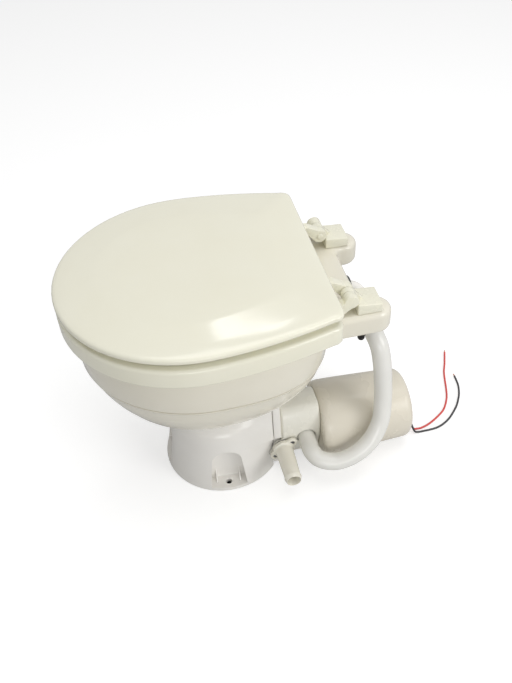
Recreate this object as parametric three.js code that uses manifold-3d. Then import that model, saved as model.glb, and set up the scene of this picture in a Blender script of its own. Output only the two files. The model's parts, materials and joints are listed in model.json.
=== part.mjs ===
// An electric marine toilet: china bowl on a moulded pedestal, seat and lid, macerator pump and motor.
// Units are millimetres. +Z is up, the front faces -Y, and it is drawn from the pedestal's axis, x = y = 0.
import * as THREE from "three";
import { mergeVertices } from "three/addons/utils/BufferGeometryUtils.js";
import Module from "manifold-3d";

const wasm = await Module();
wasm.setup();

// Driving dimensions

// Clearances and modelling values shared by every piece
const fitGap = 0.3; // between pieces that touch or slide in each other
const overrun = 4; // how far a cutting tool runs past the wall it cuts
const weld = 0.001; // vertices closer than this are one
const sides = { bolt: 8, small: 8, medium: 12, inner: 20, large: 24 };
const roundShare = 0.5523; // handle length of a quarter circle drawn as one Bezier curve

// Pedestal: a conical shell with three bolt recesses and a flat rear for the pump
const base = {
  footRadius: 85,
  footLip: 3,
  shoulderRadius: 71,
  shoulderHeight: 82,
  neckRadius: 48,
  neckHeight: 112,
  domeShares: [0.35, 0.72],
  wall: 6,
  height: 150,
  flangeRadius: 62,
  flangeThickness: 7,
  flatRear: 64,
};
const recess = {
  angles: [-4.5, -94.5, 175.5],
  width: 52,
  topWidth: 42,
  height: 70,
  archRise: 18,
  floor: 6,
  depthRadius: 61,
  wall: 4,
  boltRadius: 73,
  boltHole: 4.6,
  ribThickness: 2.4,
  ribHeight: 16,
  ribSpacing: 33,
  ribReach: 13,
};
const pad = {
  left: -6,
  notchX: 56,
  notchZ: 67,
  right: 64,
  shoulderRight: 58,
  bottom: 6,
  top: 124,
  cheekStart: 20,
  elbowEnd: 22,
};

// Waste elbow inside the pedestal
const elbow = { outer: 25, inner: 21, top: 146, steps: 5 };

// Bowl: china, with a box rim, a rear deck and two ears for the hinges
const bowl = {
  footRadius: 58,
  footHeight: 14,
  bottomHalfWidth: 102,
  bottomFront: -120,
  bottomRear: 122,
  bottomRound: 5,
  halfWidth: 144,
  front: -168,
  rear: 143,
  ledgeHeight: 237,
  ledgeStep: 4,
  widestY: -12,
  cornerPower: 2.8,
  points: 32,
  bellyShares: [[0.08, 0.25], [0.3, 0.5], [0.55, 0.72], [0.8, 0.86]],
  topRound: 4,
};
const rimTop = 292;
const opening = {
  halfWidth: 97,
  front: -122,
  rear: 92,
  lipHeight: 24,
  undercut: 34,
  undercutFall: 8,
  wellShares: [[0.1, 0.6], [0.32, 0.87]],
  outletRadius: 26,
  outletFall: 12,
};
const deck = {
  halfWidth: 90,
  start: 70,
  rear: 182,
  thickness: 34,
  earWidth: 40,
  earEnd: 216,
  innerFillet: 9,
  edgeRound: 8,
};
const gasket = { thickness: 2, innerRadius: 30, outerRadius: 57 };
const bowlBolt = { circle: 54, count: 4, radius: 3, headRadius: 4.6, headHeight: 4, length: 17 };

// Seat and lid share one plan
const plan = {
  halfWidth: 157,
  front: -183,
  rear: 139,
  widestY: -22,
  rearHalfWidth: 133,
  corner: 13,
  sideShares: [0.3, 0.34, 0.1],
  divisions: 5,
};
const seat = {
  lift: 3,
  thickness: 26.5,
  round: 6,
  footRound: 1.5,
  holeHalfWidth: 94,
  holeFront: -128,
  holeRear: 88,
};
const seatBuffer = { radius: 9, frontY: -144, rearY: 104, frontX: 58, rearX: 112 };
const lid = {
  gap: 2.8,
  skirt: 7.7,
  skirtInset: 5,
  lip: 4,
  edgeRound: 4,
  borderWidth: 50,
  borderRise: 5,
  crown: 2,
  crownInset: 90,
  wall: 3.2,
  socketWall: 3,
};
const lidBuffer = { radius: 7, x: 96, y: -118 };

// Hinges: one on each ear
const hinge = {
  spacing: 138,
  axisY: 161,
  axisHeight: 22,
  knuckle: 9,
  pinRadius: 3,
  pinHead: 5,
  pinHeadLength: 2.4,
  lidArmWidth: 12,
  lugWidth: 8,
  seatArmWidth: 12,
  sideGap: 0.6,
  blockWidth: 34,
  blockFront: 169,
  blockRear: 200,
  blockHeightFront: 15.5,
  blockHeightRear: 13,
  blockRound: 1.5,
  lugFoot: 12,
  lugSole: 2,
  tongueLength: 26,
  lidTongue: 5,
  lidTongueDrop: 1,
  lidArmShoulder: 6,
  seatTongue: 8,
  seatTongueRise: 6,
  seatFootRise: 3,
  lidArmArc: [-150, 100],
  seatArmArc: [-90, 180],
  lugArc: [20, 240],
};
const stud = { y: 181, radius: 3.5, intoBlock: 8, below: 20 };
const nut = { radius: 6.5, height: 11, dome: 3, washerRadius: 9, washer: 2 };

// Pump and motor on one axis behind the pedestal
const pumpAxis = { x: 32, z: 57 };
const adaptor = { end: 75.7, bore: 21.5, plateSeat: 24, seatDepth: 4.6 };
const housing = {
  start: 76,
  end: 133,
  halfWidth: 29,
  bottom: 14,
  bottomHalfWidth: 17,
  bellyBottom: 53,
  bevelHeight: 84,
  top: 109,
  topHalfWidth: 13,
  chamber: 22.5,
  chamberEnd: 121,
  backWall: 3,
};
const outlet = {
  y: 77.5,
  z: 45.5,
  root: 48,
  frontRoot: 57,
  lobeRadius: 7.5,
  centreRadius: 15,
  screwReach: 16,
  screwTilt: 42,
  bore: 8.5,
};
const valve = {
  flange: 2,
  outer: 13.4,
  tube: 8.2,
  wall: 1.4,
  tubeLength: 3,
  lipLength: 14,
  lip: 1.6,
  slit: 0.4,
};
const port = {
  flange: 5,
  rootRadius: 12.5,
  tipRadius: 11,
  barb: 1,
  barbLength: 7,
  tip: 124.5,
  rootBore: 9,
  bore: 8.5,
  rootLength: 22,
};
const portScrew = { radius: 2, headRadius: 3.8, headHeight: 2.6, length: 11 };
const spigot = {
  y: 112,
  z: 56,
  tail: 8.7,
  bore: 6.6,
  reach: 14,
  socketDepth: 2.4,
  socketWall: 3.2,
  intakeTip: -40,
  barb: 1,
};

// Rotor and the fixed walls it turns between
const shaft = { radius: 4, running: 0.5, start: 65, end: 252 };
const chopper = { y: 66.4, thickness: 3, hub: 8, reach: 20, width: 7 };
const chopperPlate = { y: 71.4, thickness: 4, holeCircle: 15, hole: 3.8, holes: 6 };
const discharge = { y: 78, length: 14, hub: 8, reach: 20.5, vane: 2.6, vanes: 6 };
const divider = { y: 96, thickness: 5 };
const rinse = { y: 104, length: 14, hub: 9, reach: 21.5, vane: 3, vanes: 8 };
const shaftSeal = { length: 8, outer: 8.6 };
const motorPlate = { thickness: 6 };
const bearing = { outer: 11, length: 6 };
const can = { outer: 46, wall: 2.5, length: 108, bossRadius: 14, bossLength: 8 };
const magnet = { glue: 0.9, wall: 7.4, length: 62, offset: 14, gapAngle: 36 };
const armature = {
  air: 1,
  length: 54,
  offset: 18,
  slots: 8,
  slotWidth: 5,
  slotDepth: 9,
  winding: 27,
  overhang: 7,
};
const commutator = { radius: 11, length: 14 };
const brushes = { plate: 3, width: 6, depth: 6, air: 0.4 };
const cover = {
  end: 266,
  frontRadius: 55,
  rearRadius: 50.5,
  wall: 2.6,
  shoulder: 16,
  rearRound: 12,
  steps: 2,
};

// Rinse hose from the pump round to the bowl's rear inlet
const hose = { outer: 12.2, inner: 9.5, steps: 20, sides: 10 };
const hoseRoute = [
  [52, 203, 230],
  [66, 208, 214],
  [73, 211, 190],
  [77, 213, 160],
  [83, 213, 128],
  [93, 208, 97],
  [103, 192, 72],
  [109, 168, 56],
  [108, 142, 48],
  [101, 121, 51],
  [88, 112.5, 55],
];
const inlet = {
  drop: 26,
  boss: 17,
  bore: 11.3,
  depth: 40,
  seal: 11,
  sealFlange: 15,
  sealThickness: 4,
  sealDepth: 12,
  spigot: 8.6,
  water: 6.4,
  collar: 11.5,
  reach: 18.5,
  bend: 9,
  tailTilt: 35,
  tail: 8.7,
  tailLength: 27,
  hoseStart: 13,
  steps: 4,
};

// Supply leads, 3 mm over the insulation, lying on the floor behind the toilet
const lead = { radius: 1.5, sides: 5, steps: 23, tension: 0.5 };
const leadRoutes = {
  red_lead: [
    [45, 256, 34],
    [45.2, 271, 33.5],
    [45.5, 277, 20],
    [46, 283, 5],
    [45.5, 290, 1.7],
    [45, 298, 1.6],
    [40, 312, 1.6],
    [30, 329, 1.6],
    [20, 342, 1.6],
    [8, 351, 1.6],
    [-5, 358, 1.6],
    [-22, 364, 1.6],
    [-39, 369, 1.6],
    [-57, 375, 1.6],
    [-74, 383, 1.6],
    [-98, 393, 1.6],
  ],
  black_lead: [
    [51, 256, 34],
    [51, 271, 33.5],
    [51.5, 277, 20],
    [52, 283, 5],
    [52, 290, 1.7],
    [52, 298, 1.6],
    [52, 306, 1.6],
    [51, 318, 1.6],
    [47, 330, 1.6],
    [39, 343, 1.6],
    [29, 354, 1.6],
    [17, 365, 1.6],
    [5, 373, 1.6],
    [-6, 379, 1.6],
    [-20, 384, 1.6],
    [-31, 386, 1.6],
    [-43, 387, 1.6],
  ],
};
const grommet = { x: 48, z: 34, outer: 6.4, flange: 8, flangeThickness: 1.6, pitch: 6 };

// Heights that follow from the sizes above
const bowlFoot = base.height + gasket.thickness;
const bowlBottom = bowlFoot + bowl.footHeight;
const deckBottom = rimTop - deck.thickness;
const seatBottom = rimTop + seat.lift;
const seatTop = seatBottom + seat.thickness;
const lidBottom = seatTop + lid.gap;
const axisZ = rimTop + hinge.axisHeight;
const padFace = base.flatRear + fitGap;
const inletZ = rimTop - inlet.drop;
const outletFace = pumpAxis.x + housing.halfWidth;
const motorStart = housing.end + fitGap;
const canStart = motorStart + motorPlate.thickness + fitGap;
const canEnd = canStart + can.length;

// Helpers: solids and their booleans
function solidOf(geometry) {
  const bare = geometry.index ? geometry.toNonIndexed() : geometry.clone();
  bare.deleteAttribute("normal");
  bare.deleteAttribute("uv");
  const merged = mergeVertices(bare, weld);
  const mesh = new wasm.Mesh({
    numProp: 3,
    vertProperties: merged.attributes.position.array,
    triVerts: new Uint32Array(merged.index.array),
  });
  return new wasm.Manifold(mesh);
}

function geometryOf(solid) {
  const mesh = solid.getMesh();
  const geometry = new THREE.BufferGeometry();
  geometry.setAttribute("position", new THREE.BufferAttribute(new Float32Array(mesh.vertProperties), 3));
  geometry.setIndex(new THREE.BufferAttribute(mesh.triVerts, 1));
  const flat = geometry.toNonIndexed();
  flat.computeVertexNormals();
  return flat;
}

function join(...geometries) {
  return geometryOf(geometries.map(solidOf).reduce((all, next) => all.add(next)));
}

function cut(geometry, ...tools) {
  return geometryOf(tools.reduce((left, tool) => left.subtract(solidOf(tool)), solidOf(geometry)));
}

function common(a, b) {
  return geometryOf(solidOf(a).intersect(solidOf(b)));
}

// Helpers: shapes and the three ways to extrude them
const X = new THREE.Vector3(1, 0, 0);
const Y = new THREE.Vector3(0, 1, 0);
const Z = new THREE.Vector3(0, 0, 1);

function polygon(points) {
  const shape = new THREE.Shape();
  points.forEach(([a, b], i) => (i ? shape.lineTo(a, b) : shape.moveTo(a, b)));
  return shape;
}

function rectangle(a0, a1, b0, b1) {
  return polygon([
    [a0, b0],
    [a1, b0],
    [a1, b1],
    [a0, b1],
  ]);
}

function circle(a, b, radius) {
  const shape = new THREE.Shape();
  shape.absarc(a, b, radius, 0, 2 * Math.PI, false);
  return shape;
}

function ring(a, b, outer, inner) {
  const shape = circle(a, b, outer);
  shape.holes.push(circle(a, b, inner));
  return shape;
}

function extruded(shape, length, segments, round) {
  const geometry = new THREE.ExtrudeGeometry(shape, {
    depth: length - 2 * round,
    curveSegments: segments / 2,
    bevelEnabled: round > 0,
    bevelThickness: round,
    bevelSize: round,
    bevelOffset: -round,
    bevelSegments: 2,
  });
  return geometry.translate(0, 0, round);
}

// The shape's plane is (y, z) for alongX, (x, z) for alongY and (x, y) for alongZ
function alongX(shape, from, to, segments = sides.small, round = 0) {
  const turn = new THREE.Matrix4().makeBasis(Y, Z, X).setPosition(from, 0, 0);
  return extruded(shape, to - from, segments, round).applyMatrix4(turn);
}

function alongY(shape, from, to, segments = sides.small, round = 0) {
  const turn = new THREE.Matrix4().makeBasis(X, Z, Y.clone().negate()).setPosition(0, to, 0);
  return extruded(shape, to - from, segments, round).applyMatrix4(turn);
}

function alongZ(shape, from, to, segments = sides.small, round = 0) {
  return extruded(shape, to - from, segments, round).translate(0, 0, from);
}

// A pipe of one section along a curve, solid unless it has an inner radius
function tubeAlong(curve, outer, steps, segments, inner = 0) {
  const shape = inner ? ring(0, 0, outer, inner) : circle(0, 0, outer);
  return new THREE.ExtrudeGeometry(shape, { steps, curveSegments: segments / 2, extrudePath: curve });
}

// A turned piece: profile points are [radius, height], and axis is Y or Z
function turned(profile, segments, axis = Z) {
  const points = profile.map(([r, h]) => new THREE.Vector2(r, h));
  const lathe = new THREE.LatheGeometry(points, segments);
  return axis === Z ? lathe.rotateX(Math.PI / 2) : lathe;
}

// A closed skin through rings of equally many points, each ring counterclockwise seen from above
function loft(rings) {
  const positions = [];
  const push = (...corners) => corners.forEach((c) => positions.push(c.x, c.y, c.z));
  const count = rings[0].length;
  for (let level = 0; level + 1 < rings.length; level++) {
    const low = rings[level];
    const high = rings[level + 1];
    for (let i = 0; i < count; i++) {
      const next = (i + 1) % count;
      push(low[i], low[next], high[next]);
      push(low[i], high[next], high[i]);
    }
  }
  for (const [outline, up] of [
    [rings[0], false],
    [rings[rings.length - 1], true],
  ]) {
    const flat = outline.map((p) => new THREE.Vector2(p.x, p.y));
    for (const [a, b, c] of THREE.ShapeUtils.triangulateShape(flat, [])) {
      if (up) push(outline[a], outline[b], outline[c]);
      else push(outline[a], outline[c], outline[b]);
    }
  }
  const geometry = new THREE.BufferGeometry();
  geometry.setAttribute("position", new THREE.Float32BufferAttribute(positions, 3));
  return geometry;
}

// An egg-shaped ring: a half ellipse in front and a squarer half behind
function eggRing(z, halfWidth, front, rear, power = 2, widestY = bowl.widestY) {
  const points = [];
  for (let i = 0; i < bowl.points; i++) {
    const angle = (i / bowl.points) * 2 * Math.PI;
    const c = -Math.cos(angle);
    const s = Math.sin(angle);
    const behind = c > 0;
    const exponent = behind ? 2 / power : 1;
    const reach = behind ? rear - widestY : widestY - front;
    const x = halfWidth * Math.sign(s) * Math.abs(s) ** exponent;
    const y = widestY + reach * Math.sign(c) * Math.abs(c) ** exponent;
    points.push(new THREE.Vector3(x, y, z));
  }
  return points;
}

function mix(a, b, share) {
  return a + (b - a) * share;
}

// Plan outline of seat and lid, drawn inward by an inset
function planShape(inset) {
  const width = plan.halfWidth - inset;
  const rearWidth = plan.rearHalfWidth - inset;
  const front = plan.front + inset;
  const rear = plan.rear - inset;
  const cornerStart = rear - plan.corner;
  const reach = plan.widestY - front;
  const run = cornerStart - plan.widestY;
  const [leave, arrive, flare] = plan.sideShares;
  const flank = [
    [width, plan.widestY + leave * run],
    [rearWidth + flare * run, cornerStart - arrive * run],
  ];
  const shape = new THREE.Shape();
  shape.moveTo(0, front);
  shape.bezierCurveTo(
    roundShare * width, front,
    width, plan.widestY - roundShare * reach,
    width, plan.widestY,
  );
  shape.bezierCurveTo(...flank[0], ...flank[1], rearWidth, cornerStart);
  shape.quadraticCurveTo(rearWidth, rear, rearWidth - plan.corner, rear);
  shape.lineTo(plan.corner - rearWidth, rear);
  shape.quadraticCurveTo(-rearWidth, rear, -rearWidth, cornerStart);
  shape.bezierCurveTo(
    -flank[1][0], flank[1][1],
    -flank[0][0], flank[0][1],
    -width, plan.widestY,
  );
  shape.bezierCurveTo(
    -width, plan.widestY - roundShare * reach,
    -roundShare * width, front,
    0, front,
  );
  return shape;
}

function planRing(inset, z) {
  const points = planShape(inset).getPoints(plan.divisions).slice(0, -1);
  return points.map((p) => new THREE.Vector3(p.x, p.y, z));
}

// Finishes
function finish(color, roughness, metalness = 0) {
  return new THREE.MeshStandardMaterial({ color, roughness, metalness });
}
const china = finish(0xece8dd, 0.12);
const enamel = finish(0xedecda, 0.2);
const whitePlastic = finish(0xdcdad6, 0.28);
const pumpPlastic = finish(0xd8d5c5, 0.35);
const coverPlastic = finish(0xd3cdb9, 0.38);
const hosePlastic = finish(0xe4e3de, 0.3);
const rubber = finish(0x1c1c1c, 0.7);
const steel = finish(0xb9bbbd, 0.35, 1);
const blackPlastic = finish(0x161616, 0.45);
const magnetic = finish(0x3a3a3c, 0.6);
const copper = finish(0xb5733f, 0.4, 1);
const redInsulation = finish(0xc8453f, 0.5);
const blackInsulation = finish(0x2a2a2a, 0.5);

const toilet = new THREE.Group();

function add(name, geometry, material, parent = toilet) {
  const mesh = new THREE.Mesh(geometry, material);
  mesh.name = name;
  parent.add(mesh);
  return mesh;
}

// Pedestal
function pedestalProfile(inset) {
  const dome = base.domeShares.map((share) => {
    const angle = share * (Math.PI / 2);
    return [
      base.neckRadius - inset + (base.shoulderRadius - base.neckRadius) * Math.cos(angle),
      base.shoulderHeight - inset + (base.neckHeight - base.shoulderHeight) * Math.sin(angle),
    ];
  });
  return [[base.shoulderRadius - inset, base.shoulderHeight - inset], ...dome,
    [base.neckRadius - inset, base.neckHeight - inset]];
}

function boltRecess(turn) {
  const outer = base.footRadius + overrun;
  const arch = (grow, floor) => {
    const shape = new THREE.Shape();
    const foot = recess.width / 2 + grow;
    const brow = recess.topWidth / 2 + grow;
    const spring = recess.height - recess.archRise;
    shape.moveTo(-foot, floor);
    shape.lineTo(foot, floor);
    shape.lineTo(brow, spring);
    shape.absellipse(0, spring, brow, recess.archRise + grow, 0, Math.PI, false, 0);
    shape.lineTo(-foot, floor);
    return shape;
  };
  const block = alongX(arch(recess.wall, 0), recess.depthRadius - recess.wall, outer, sides.small);
  const pocket = alongX(arch(0, recess.floor), recess.depthRadius, outer, sides.small);
  const hole = alongZ(
    circle(recess.boltRadius, 0, recess.boltHole), -overrun, recess.floor + overrun,
  );
  const ribShape = polygon([
    [recess.depthRadius - fitGap, recess.floor - fitGap],
    [recess.depthRadius + recess.ribReach, recess.floor - fitGap],
    [recess.depthRadius - fitGap, recess.floor + recess.ribHeight],
  ]);
  const ribs = [-1, 1].map((side) => {
    const middle = (side * recess.ribSpacing) / 2;
    const half = recess.ribThickness / 2;
    return alongY(ribShape, middle - half, middle + half);
  });
  return [block, pocket, hole, ...ribs].map((piece) => piece.rotateZ(turn));
}

// Outline shared by the pad on the pedestal and the pump's front plate, notched for the discharge port
const padOutline = [
  [pad.left, pad.bottom],
  [pad.notchX, pad.bottom],
  [pad.notchX, pad.notchZ],
  [pad.right, pad.notchZ],
  [pad.shoulderRight, pad.top],
  [pad.left, pad.top],
];

// How far the pedestal's side stands from its axis at a height
function pedestalRadius(z) {
  const share = (z - base.footLip) / (base.shoulderHeight - base.footLip);
  return share < 1 ? mix(base.footRadius, base.shoulderRadius, share) : base.neckRadius;
}

// The round side flares into the flat pad at the rear
function makeCheek() {
  const ringAt = (y, widthAt) =>
    padOutline.map(([x, z]) => new THREE.Vector3(x === pad.left ? x : widthAt(x, z), z, -y));
  const start = pad.cheekStart;
  const skin = loft([
    ringAt(base.flatRear, (x) => x),
    ringAt(start, (x, z) => Math.sqrt(pedestalRadius(z) ** 2 - start ** 2) - fitGap),
  ]);
  return skin.applyMatrix4(new THREE.Matrix4().makeBasis(X, Z, Y.clone().negate()));
}

// Way of the waste from the bowl down the neck and back to the pump
function wastePipe(outer, inner = 0) {
  const path = new THREE.CurvePath();
  const top = new THREE.Vector3(0, 0, elbow.top);
  const turnTop = new THREE.Vector3(0, 0, base.neckHeight);
  const turnEnd = new THREE.Vector3(pumpAxis.x, base.flatRear - pad.elbowEnd, pumpAxis.z);
  const end = new THREE.Vector3(pumpAxis.x, base.flatRear, pumpAxis.z);
  path.add(new THREE.LineCurve3(top, turnTop));
  path.add(
    new THREE.CubicBezierCurve3(
      turnTop,
      new THREE.Vector3(0, 0, pumpAxis.z),
      new THREE.Vector3(pumpAxis.x, 0, pumpAxis.z),
      turnEnd,
    ),
  );
  path.add(new THREE.LineCurve3(turnEnd, end));
  return tubeAlong(path, outer, elbow.steps, sides.medium, inner);
}

function makePedestal() {
  const round = turned(
    [[0, 0], [base.footRadius, 0], [base.footRadius, base.footLip], ...pedestalProfile(0),
      [base.neckRadius, base.height - base.flangeThickness],
      [base.flangeRadius, base.height - base.flangeThickness],
      [base.flangeRadius, base.height], [0, base.height]],
    sides.large,
  );
  const outside = join(round, makeCheek());
  const hollow = turned(
    [[0, -overrun], [base.footRadius - base.wall, -overrun], ...pedestalProfile(base.wall),
      [0, base.neckHeight - base.wall]],
    sides.inner,
  );
  const behind = base.flatRear + base.footRadius;
  const rearCut = alongZ(
    rectangle(-behind, behind, base.flatRear, behind), -overrun, base.height - base.flangeThickness,
  );
  const portNotch = alongZ(
    rectangle(pad.notchX, behind, outlet.y - outlet.screwReach - outlet.lobeRadius, behind),
    pad.bottom, pad.notchZ,
  );
  const rearWall = common(
    alongZ(
      rectangle(-base.footRadius, base.footRadius, base.flatRear - base.wall, base.flatRear),
      0, pad.top,
    ),
    outside,
  );
  let shell = join(cut(outside, hollow), rearWall);
  for (const angle of recess.angles) {
    const [block, pocket, hole, ...ribs] = boltRecess(radians(angle));
    shell = cut(join(shell, common(block, outside)), pocket, hole);
    shell = join(shell, ...ribs);
  }
  const pipeHole = elbow.outer + 2 * fitGap;
  const neckBore = alongZ(circle(0, 0, pipeHole), base.neckHeight, base.height + overrun, sides.medium);
  const pumpBore = alongY(
    axisCircle(pipeHole), base.flatRear - base.wall, base.flatRear + overrun, sides.medium,
  );
  const boltHoles = boltCircle().map(([x, y]) =>
    alongZ(circle(x, y, bowlBolt.radius + fitGap), base.neckHeight, base.height + overrun, sides.bolt));
  return cut(shell, rearCut, portNotch, neckBore, pumpBore, wastePipe(pipeHole), ...boltHoles);
}

function boltCircle() {
  return Array.from({ length: bowlBolt.count }, (_, i) => {
    const angle = ((i + 0.5) / bowlBolt.count) * 2 * Math.PI;
    return [bowlBolt.circle * Math.cos(angle), bowlBolt.circle * Math.sin(angle)];
  });
}

add("base_pedestal", makePedestal(), whitePlastic);
add("waste_elbow", wastePipe(elbow.outer, elbow.inner), whitePlastic);
add(
  "bowl_gasket",
  cut(
    alongZ(ring(0, 0, gasket.outerRadius, gasket.innerRadius), base.height, bowlFoot, sides.medium),
    ...boltCircle().map(([x, y]) =>
      alongZ(circle(x, y, bowlBolt.radius + fitGap), base.height - overrun, bowlFoot + overrun, sides.bolt)),
  ),
  rubber,
);
boltCircle().forEach(([x, y], i) => {
  const under = base.height - base.flangeThickness - fitGap;
  const head = alongZ(circle(x, y, bowlBolt.headRadius), under - bowlBolt.headHeight, under, 6);
  const shank = alongZ(circle(x, y, bowlBolt.radius), under - fitGap, under + bowlBolt.length, sides.bolt);
  add("bowl_bolt_" + (i + 1), join(head, shank), steel);
});

// Bowl
function deckShape() {
  const radius = deck.earWidth / 2;
  const earX = deck.halfWidth - radius;
  const inner = deck.halfWidth - deck.earWidth;
  const shape = new THREE.Shape();
  shape.moveTo(-deck.halfWidth, deck.start);
  shape.lineTo(deck.halfWidth, deck.start);
  shape.lineTo(deck.halfWidth, deck.earEnd - radius);
  shape.absarc(earX, deck.earEnd - radius, radius, 0, Math.PI, false);
  shape.lineTo(inner, deck.rear + deck.innerFillet);
  shape.quadraticCurveTo(inner, deck.rear, inner - deck.innerFillet, deck.rear);
  shape.lineTo(deck.innerFillet - inner, deck.rear);
  shape.quadraticCurveTo(-inner, deck.rear, -inner, deck.rear + deck.innerFillet);
  shape.absarc(-earX, deck.earEnd - radius, radius, 0, Math.PI, false);
  shape.lineTo(-deck.halfWidth, deck.start);
  return shape;
}

function makeBowl() {
  const wide = (z, inset, share = 1) =>
    eggRing(
      z,
      mix(bowl.bottomHalfWidth, bowl.halfWidth, share) - inset,
      mix(bowl.bottomFront, bowl.front, share) + inset,
      mix(bowl.bottomRear, bowl.rear, share) - inset,
      mix(2, bowl.cornerPower, share),
    );
  const outside = loft([
    wide(bowlBottom, bowl.bottomRound, 0),
    ...bowl.bellyShares.map(([height, width]) => wide(mix(bowlBottom, bowl.ledgeHeight, height), 0, width)),
    wide(bowl.ledgeHeight, bowl.ledgeStep),
    wide(bowl.ledgeHeight, 0),
    wide(rimTop - bowl.topRound, 0),
    wide(rimTop, bowl.topRound),
  ]);
  const foot = alongZ(circle(0, 0, bowl.footRadius), bowlFoot, bowlBottom + overrun, sides.large);
  const rearDeck = alongZ(deckShape(), deckBottom, rimTop, sides.small, deck.edgeRound);
  const lipBottom = rimTop - opening.lipHeight;
  const wellTop = lipBottom - opening.undercutFall;
  const hollow = (z, grow, share = 1) =>
    eggRing(
      z,
      mix(opening.outletRadius, opening.halfWidth + grow, share),
      mix(-opening.outletRadius, opening.front - grow, share),
      mix(opening.outletRadius, opening.rear + grow, share),
      2,
      mix(0, bowl.widestY, share),
    );
  const wellBottom = bowlBottom + opening.outletFall;
  const inside = loft([
    hollow(wellBottom, 0, 0),
    ...opening.wellShares.map(([height, width]) =>
      hollow(mix(wellBottom, wellTop, height), opening.undercut, width)),
    hollow(wellTop, opening.undercut),
    hollow(lipBottom, 0),
    hollow(rimTop + overrun, 0),
  ]);
  const drain = alongZ(
    circle(0, 0, opening.outletRadius), bowlFoot - overrun, wellBottom + overrun, sides.medium,
  );
  const inletBoss = alongY(circle(0, inletZ, inlet.boss), deck.start, deck.rear, sides.medium);
  const waterway = alongY(
    circle(0, inletZ, inlet.bore), deck.rear - inlet.depth, deck.rear + overrun, sides.medium,
  );
  const studHoles = [-1, 1].map((side) =>
    alongZ(
      circle((side * hinge.spacing) / 2, stud.y, stud.radius + fitGap),
      deckBottom - overrun, rimTop + overrun,
    ));
  const boltHoles = boltCircle().map(([x, y]) =>
    alongZ(
      circle(x, y, bowlBolt.radius + fitGap), bowlFoot - overrun, bowlFoot + bowl.footHeight, sides.bolt,
    ));
  return cut(join(outside, foot, rearDeck, inletBoss), inside, drain, waterway, ...studHoles, ...boltHoles);
}

add("bowl", makeBowl(), china);

// Hinge side profiles, in the (y, z) plane
function hingeSlices(side) {
  const middle = (side * hinge.spacing) / 2;
  const total = hinge.lidArmWidth + hinge.lugWidth + hinge.seatArmWidth + 2 * hinge.sideGap;
  const slice = (start, width) => {
    const inner = middle + side * (start - total / 2);
    const outer = inner + side * width;
    return [Math.min(inner, outer), Math.max(inner, outer)];
  };
  const lugStart = hinge.lidArmWidth + hinge.sideGap;
  return {
    lidArm: slice(0, hinge.lidArmWidth),
    lug: slice(lugStart, hinge.lugWidth),
    seatArm: slice(lugStart + hinge.lugWidth + hinge.sideGap, hinge.seatArmWidth),
    pin: slice(0, total),
    inner: middle - (side * total) / 2,
  };
}

function radians(degrees) {
  return (degrees / 180) * Math.PI;
}

// A round eye for the pin, drawn from one angle to another, then on through the given points
function knuckleShape([from, to], points) {
  const start = radians(from);
  const shape = new THREE.Shape();
  shape.moveTo(hinge.axisY + hinge.knuckle * Math.cos(start), axisZ + hinge.knuckle * Math.sin(start));
  shape.absarc(hinge.axisY, axisZ, hinge.knuckle, start, radians(to), false);
  points.forEach(([y, z]) => shape.lineTo(y, z));
  shape.closePath();
  shape.holes.push(circle(hinge.axisY, axisZ, hinge.pinRadius + fitGap));
  return shape;
}

const lidTongueTop = lidBottom + lid.skirt - hinge.lidTongueDrop;
const lidTongueBottom = lidTongueTop - hinge.lidTongue;
const seatTongueBottom = seatBottom + hinge.seatTongueRise;
const seatTongueTop = seatTongueBottom + hinge.seatTongue;
const tongueEnd = plan.rear - hinge.tongueLength;

const lidArmShape = knuckleShape(hinge.lidArmArc, [
  [plan.rear + hinge.lidArmShoulder, lidTongueTop],
  [tongueEnd, lidTongueTop],
  [tongueEnd, lidTongueBottom],
  [plan.rear, lidTongueBottom],
]);
const seatArmShape = knuckleShape(hinge.seatArmArc, [
  [plan.rear + fitGap, seatTongueTop],
  [tongueEnd, seatTongueTop],
  [tongueEnd, seatTongueBottom],
  [plan.rear + fitGap, seatTongueBottom],
  [plan.rear + fitGap, seatBottom + hinge.seatFootRise],
  [hinge.axisY - hinge.knuckle, seatBottom + hinge.seatFootRise],
]);
const lugShape = knuckleShape(hinge.lugArc, [
  [hinge.blockFront + hinge.lugSole, rimTop + hinge.lugSole],
  [hinge.blockFront + hinge.lugFoot, rimTop + hinge.lugSole],
  [hinge.blockFront + hinge.lugFoot, rimTop + hinge.blockHeightRear],
]);

function pocketFor([from, to], bottom, top) {
  const shape = rectangle(
    tongueEnd - fitGap, plan.rear + overrun, bottom - fitGap, top + fitGap,
  );
  return alongX(shape, from - fitGap, to + fitGap);
}

const left = hingeSlices(-1);
const right = hingeSlices(1);

// Seat
function makeSeat() {
  const bend = seat.round * (1 - Math.SQRT1_2);
  const levels = [
    [seat.footRound, seatBottom],
    [0, seatBottom + seat.footRound],
    [0, seatTop - seat.round],
    [bend, seatTop - bend],
    [seat.round, seatTop],
  ];
  const holeAt = ([inset, z]) =>
    eggRing(z, seat.holeHalfWidth + inset, seat.holeFront - inset, seat.holeRear + inset);
  const outside = loft(levels.map(([inset, z]) => planRing(inset, z)));
  const through = [
    [seat.footRound, seatBottom - overrun],
    ...levels.slice(0, -1),
    [seat.round + overrun, seatTop + overrun],
  ];
  return cut(
    cut(outside, loft(through.map(holeAt))),
    ...[left, right].map((slices) => pocketFor(slices.seatArm, seatTongueBottom, seatTongueTop)),
  );
}

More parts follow.
